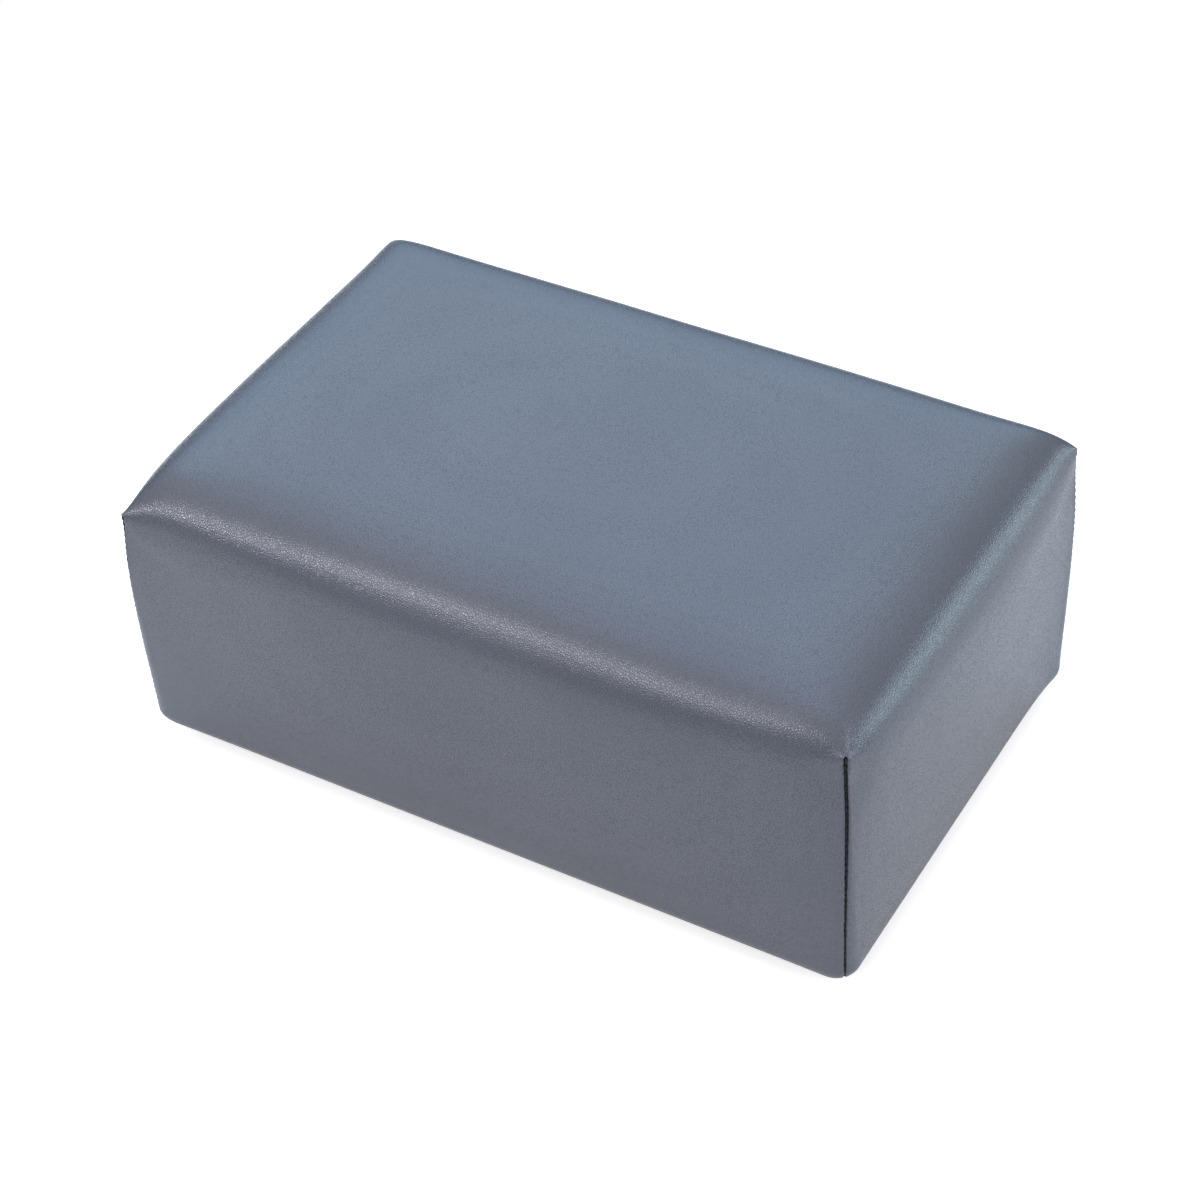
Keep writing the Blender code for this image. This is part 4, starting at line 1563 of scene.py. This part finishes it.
def makeDustCover(sizes):
    # a stretched sheet with its edge folded under, drawn up a little at each staple
    low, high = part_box("bottom_dust_cover")
    xs = np.linspace(low.x, high.x, round((high.x - low.x) / sizes["cells"]) + 1)
    ys = np.linspace(low.y, high.y, round((high.y - low.y) / sizes["cells"]) + 1)
    x, y = np.meshgrid(xs, ys, indexing="ij")
    endGap, sideGap = high.x - np.abs(x), high.y - np.abs(y)
    edge = np.minimum(endGap, sideGap)
    footX, footY = halfLength - feet["inset"], halfWidth - feet["inset"]
    fromFoot = np.hypot(np.abs(x) - footX, np.abs(y) - footY)
    free = np.clip((fromFoot - feet["radius"]) / sizes["footReach"], 0, 1)
    free = free * np.clip(edge / sizes["edgeReach"], 0, 1)
    waves = [
        noise.noise(Vector((a, b, 0)) / sizes["wrinkleWidth"] + sizes["wrinkleSeed"])
        for a, b in zip(x.ravel(), y.ravel())
    ]
    waves = np.array(waves).reshape(x.shape)
    sag = sizes["wrinkle"] * np.clip(sizes["slack"] + waves, 0, sizes["mostSag"]) * free
    along = np.where(endGap < sideGap, y, x)
    pulls = np.cos(along / staples["pitch"] * 2 * math.pi)
    pulls = pulls * np.exp(-((edge - staples["inset"]) / sizes["pullWidth"]) ** 2)
    nearEdge = np.exp(-(edge / sizes["pullReach"]) ** 2)
    sag += sizes["staplePull"] * (1 - pulls) / 2 * nearEdge * free
    fold = np.clip((sizes["foldWidth"] - edge) / sizes["foldEdge"], 0, 1)
    fold = fold * np.clip(free * sizes["foldGrowth"], 0, 1)
    under = low.z - sag - sizes["foldStep"] * fold
    count = x.size
    lower = np.stack([x, y, under], axis=-1).reshape(-1, 3)
    upper = np.stack([x, y, np.minimum(under + high.z - low.z, high.z)], axis=-1).reshape(-1, 3)
    number = np.arange(count).reshape(x.shape)
    cells = np.stack([number[:-1, :-1], number[:-1, 1:], number[1:, 1:], number[1:, :-1]], axis=-1)
    faces = []
    for cell in cells.reshape(-1, 4).tolist():
        faces += [tuple(cell), tuple(count + k for k in reversed(cell))]
    rim = [*number[:, 0], *number[-1, 1:], *number[-2::-1, -1], *number[0, -2:0:-1]]
    rim = [int(k) for k in rim]
    for here, after in zip(rim, rim[1:] + rim[:1]):
        faces.append((here, after, after + count, here + count))
    sheet = newPiece("dustCoverSheet", np.concatenate([lower, upper]), faces, blackSpunbond)
    fixNormals(sheet.data)
    punch = bmesh.new()
    for along, across in ((-1, -1), (-1, 1), (1, -1), (1, 1)):
        made = bmesh.ops.create_cone(
            punch,
            cap_ends=True,
            segments=sizes["holeSides"],
            radius1=sizes["clearHole"],
            radius2=sizes["clearHole"],
            depth=sizes["holeDepth"],
        )
        bmesh.ops.translate(punch, verts=made["verts"], vec=(along * footX, across * footY, low.z))
    holes = looseObject("screwHoles", solidMesh("screwHoles", punch))
    piece = cutAway(sheet, holes, "dust_cover")
    smoothShade(piece.data, sizes["creaseAngle"])
    bodyPiece(piece, "nonwoven", "bottom_dust_cover")


# The feet, each with its washer and its cross-recessed screw

feet = {
    "inset": 30 * mm,
    "radius": 11 * mm,
    "taper": 1.2 * mm,
    "shoulder": 0.6 * mm,
    "edge": 1.1 * mm,
    "ringWidth": 0.7 * mm,
    "ringDepth": 0.5 * mm,
    "hole": 2.0 * mm,
    "recess": 5.3 * mm,
    "recessEdge": 0.3 * mm,
    "washerRoom": 0.3 * mm,
    "washerEdge": 0.12 * mm,
    "sides": 64,
    "washerSides": 48,
    "screwSides": 32,
    "headRadius": 3.4 * mm,
    "headHeight": 1.8 * mm,
    "headEdge": 0.4 * mm,
    "crossWidth": 0.95 * mm,
    "crossReach": 1.9 * mm,
    "crossDepth": 1.1 * mm,
    "crossTaper": (0.35, 0.6),  # of its reach and its width, at its bottom
    "neck": 1.3 * mm,
    "core": 1.2 * mm,
    "thread": 1.7 * mm,
    "threadPitch": 1.4 * mm,
    "threadStop": 2.5 * mm,  # from the head
    "point": 0.5 * mm,
    "pointLength": 1.2 * mm,
    "threadStart": 5 * mm,  # from the point
    "firstTurn": 0.4,  # of the feet on their screws, and from each to the next
    "nextTurn": 0.9,
    "creaseAngle": 35,
}


def quarter(steps):
    return np.linspace(0, math.pi / 2, steps)


def turned(name, profile, sides, material):
    # revolves (radius, height) pairs about Z. A radius of nothing closes that end.
    points, rings = [], []
    for radius, height in profile:
        if radius <= 0:
            rings.append([len(points)])
            points.append((0, 0, height))
        else:
            rings.append(list(range(len(points), len(points) + sides)))
            angles = np.linspace(0, 2 * math.pi, sides, endpoint=False)
            points += [(radius * math.cos(a), radius * math.sin(a), height) for a in angles]
    if len(rings[0]) > 1:
        rings.append(rings[0])
    faces = []
    for first, second in zip(rings, rings[1:]):
        for k in range(sides):
            after = (k + 1) % sides
            around = ((first, k), (first, after), (second, after), (second, k))
            face = list(dict.fromkeys(ring[step % len(ring)] for ring, step in around))
            if len(face) > 2:
                faces.append(tuple(face))
    piece = newPiece(name, points, faces, material, feet["creaseAngle"])
    fixNormals(piece.data)
    return piece


def footProfile(sizes):
    outer, tip = sizes["radius"], sizes["radius"] - sizes["taper"]
    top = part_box("foot_front_left")[1].z
    soft, floorEdge = sizes["shoulder"], sizes["edge"]
    hole, recess, recessEdge = sizes["hole"], sizes["recess"], sizes["recessEdge"]
    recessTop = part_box("foot_washer_front_left")[1].z + sizes["washerRoom"]
    profile = [(hole, top), (outer - soft, top)]
    profile += [
        (outer - soft + soft * math.sin(a), top - soft + soft * math.cos(a)) for a in quarter(4)[1:]
    ]
    profile += [
        (tip - floorEdge + floorEdge * math.cos(a), floorEdge - floorEdge * math.sin(a))
        for a in quarter(6)
    ]
    ring, half, groove = (tip + recess) / 2, sizes["ringWidth"], sizes["ringDepth"]
    profile += [(ring + half, 0.0), (ring + half / 2, groove)]
    profile += [(ring - half / 2, groove), (ring - half, 0.0)]
    profile += [(recess + recessEdge, 0.0), (recess, recessEdge), (recess, recessTop), (hole, recessTop)]
    return profile


def washerProfile(sizes):
    low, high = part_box("foot_washer_front_left")
    radius = (high.x - low.x) / 2
    hole, soft = sizes["hole"], sizes["washerEdge"]
    return [
        (hole, high.z),
        (radius - soft, high.z),
        (radius, high.z - soft),
        (radius, low.z + soft),
        (radius - soft, low.z),
        (hole, low.z),
    ]


def footScrewObject(sizes):
    low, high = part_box("foot_screw_front_left")
    face = low.z + sizes["headHeight"]
    head, headEdge = sizes["headRadius"], sizes["headEdge"]
    core, pitch = sizes["core"], sizes["threadPitch"]
    level = high.z - sizes["threadStart"]
    profile = [(0, high.z), (sizes["point"], high.z - sizes["pointLength"]), (core, level)]
    while level > face + sizes["threadStop"]:
        profile += [(sizes["thread"], level - pitch / 4), (core, level - pitch / 2)]
        level -= pitch
        profile.append((core, level))
    profile += [(sizes["neck"], face), (head, face), (head, face - headEdge)]
    domeHeight = sizes["headHeight"] - headEdge
    profile += [
        (head * math.cos(a), face - headEdge - domeHeight * math.sin(a)) for a in quarter(7)[1:-1]
    ]
    profile.append((0, low.z))
    screw = turned("oneFootScrew", profile, sizes["screwSides"], zincPlate)
    cutter = bmesh.new()
    for turn in (0, math.pi / 2):
        made = bmesh.ops.create_cube(cutter, size=1)
        scale = Vector((2 * sizes["crossReach"], sizes["crossWidth"], 2 * sizes["crossDepth"]))
        bmesh.ops.scale(cutter, vec=scale, verts=made["verts"])
        for vert in made["verts"]:
            if vert.co.z > 0:
                vert.co.x *= sizes["crossTaper"][0]
                vert.co.y *= sizes["crossTaper"][1]
        bmesh.ops.rotate(cutter, cent=(0, 0, 0), matrix=Matrix.Rotation(turn, 3, "Z"), verts=made["verts"])
        bmesh.ops.translate(cutter, vec=(0, 0, low.z), verts=made["verts"])
    cross = looseObject("cross", solidMesh("cross", cutter))
    piece = cutAway(screw, cross, "oneFootScrew", selfCrossing=True)
    smoothShade(piece.data, sizes["creaseAngle"])
    return piece


def makeFeet(sizes):
    foot = turned("oneFoot", footProfile(sizes), sizes["sides"], mouldedRubber)
    washer = turned("oneWasher", washerProfile(sizes), sizes["washerSides"], zincPlate)
    screw = footScrewObject(sizes)
    kinds = (
        (foot, "rubber_foot_", "foot_", "rubber"),
        (washer, "washer_", "foot_washer_", "steel"),
        (screw, "pan_head_screw_", "foot_screw_", "steel"),
    )
    for number, (corner, (along, across)) in enumerate(corners.items()):
        place = (along * (halfLength - sizes["inset"]), across * (halfWidth - sizes["inset"]), 0)
        turn = sizes["firstTurn"] + sizes["nextTurn"] * number
        for source, name, node, slot in kinds:
            mesh = source.data.copy()
            mesh.transform(Matrix.Translation(place) @ Matrix.Rotation(turn, 4, "Z"))
            bodyPiece(looseObject(name + corner, mesh), slot, node + corner)
    for source in (foot, washer, screw):
        bpy.data.objects.remove(source, do_unlink=True)


makeDustCover(sheetForm)
makeStaples(staples)
print("underside closed")
makeFeet(feet)
print("feet fixed")


# Floor, lamps and world

stage = {
    "halfSize": 0.65,
    "albedo": "e4e4e4",
    "lift": 0.55,  # the floor's own light to the camera, which makes it white, and to reflections
    "glossLift": 0.24,
}
lampAim = Vector((0, 0, 0.09))
lamps = {
    # azimuth and elevation from the box in degrees, distance, width, height, radiance, tint
    "frontSoftbox": (246, 26, 2.4, 1.65, 0.7, 4.8, "f6f3ff"),
    "leftSpot": (230, 19, 2.4, 0.4, 0.3, 11.0, "f4f2ff"),
    "frontWall": (242, 50, 2.5, 2.2, 1.3, 0.3, "f0ecff"),
    "overhead": (150, 80, 2.4, 2.0, 2.0, 1.16, "9cc6ff"),
    "backSoftbox": (36, 2, 2.4, 1.6, 0.8, 3.7, "dcf5fe"),
    "rightFill": (0, 26, 2.4, 1.1, 1.0, 3.3, "d6d6ff"),
    "backWall": (124, 33, 2.6, 3.0, 2.3, 1.3, "aad8ff"),
}
world = {"horizon": 0.08, "zenith": 1.08, "zenithFrom": 0.8, "tint": "fbf8ee"}
white = (1, 1, 1, 1)


def makeFloor(sizes):
    half = sizes["halfSize"]
    material, tree = newMaterial("paleFloor")
    diffuse = addNode(tree, "ShaderNodeBsdfDiffuse", {"Color": hexColor(sizes["albedo"])}).outputs[0]
    path = addNode(tree, "ShaderNodeLightPath").outputs
    straight = addNode(
        tree,
        "ShaderNodeMath",
        {0: path["Is Camera Ray"], 1: path["Is Transmission Ray"]},
        operation="MAXIMUM",
    ).outputs[0]
    glossy = addNode(
        tree, "ShaderNodeMath", {0: path["Is Glossy Ray"], 1: sizes["glossLift"]}, operation="MULTIPLY"
    ).outputs[0]
    strength = addNode(
        tree, "ShaderNodeMath", {0: straight, 1: sizes["lift"], 2: glossy}, operation="MULTIPLY_ADD"
    ).outputs[0]
    glow = addNode(tree, "ShaderNodeEmission", {"Color": white, "Strength": strength}).outputs[0]
    both = addNode(tree, "ShaderNodeAddShader", {0: diffuse, 1: glow}).outputs[0]
    addNode(tree, "ShaderNodeOutputMaterial", {"Surface": both})
    square = [(-half, -half, 0), (half, -half, 0), (half, half, 0), (-half, half, 0)]
    floor = newPiece("floor", square, [(0, 1, 2, 3)], material)


def makeLamps(lampSizes):
    for name, (azimuth, elevation, distance, width, height, radiance, tint) in lampSizes.items():
        data = bpy.data.lights.new(name, "AREA")
        data.shape = "RECTANGLE"
        data.size = width
        data.size_y = height
        data.energy = 4 * radiance * width * height  # an area lamp's power for a wanted radiance
        data.color = hexColor(tint)[:3]
        lamp = looseObject(name, data)
        turn, lift = math.radians(azimuth), math.radians(elevation)
        toward = Vector((math.cos(turn) * math.cos(lift), math.sin(turn) * math.cos(lift), math.sin(lift)))
        lamp.location = lampAim + toward * distance
        lamp.rotation_euler = toward.to_track_quat("Z", "Y").to_euler()


def makeWorld(sizes):
    surround = bpy.data.worlds.new("studio")
    scene.world = surround
    surround.use_nodes = True
    tree = surround.node_tree
    tree.nodes.clear()
    ray = addNode(tree, "ShaderNodeTexCoord").outputs["Generated"]
    rise = addNode(tree, "ShaderNodeSeparateXYZ", {"Vector": ray}).outputs["Z"]
    level = addNode(
        tree,
        "ShaderNodeMapRange",
        {
            "Value": rise,
            "From Min": 0.0,
            "From Max": sizes["zenithFrom"],
            "To Min": sizes["horizon"],
            "To Max": sizes["zenith"],
        },
        interpolation_type="SMOOTHSTEP",
    ).outputs[0]
    light = addNode(
        tree, "ShaderNodeBackground", {"Color": hexColor(sizes["tint"]), "Strength": level}
    ).outputs[0]
    plain = addNode(tree, "ShaderNodeBackground", {"Color": white, "Strength": 1.0}).outputs[0]
    path = addNode(tree, "ShaderNodeLightPath").outputs
    seen = addNode(
        tree,
        "ShaderNodeMath",
        {0: path["Is Camera Ray"], 1: path["Is Transmission Ray"]},
        operation="MAXIMUM",
    ).outputs[0]
    both = addNode(tree, "ShaderNodeMixShader", {0: seen, 1: light, 2: plain}).outputs[0]
    addNode(tree, "ShaderNodeOutputWorld", {"Surface": both})


makeFloor(stage)
makeLamps(lamps)
makeWorld(world)
scene.view_settings.view_transform = "Standard"
print("stage lit")
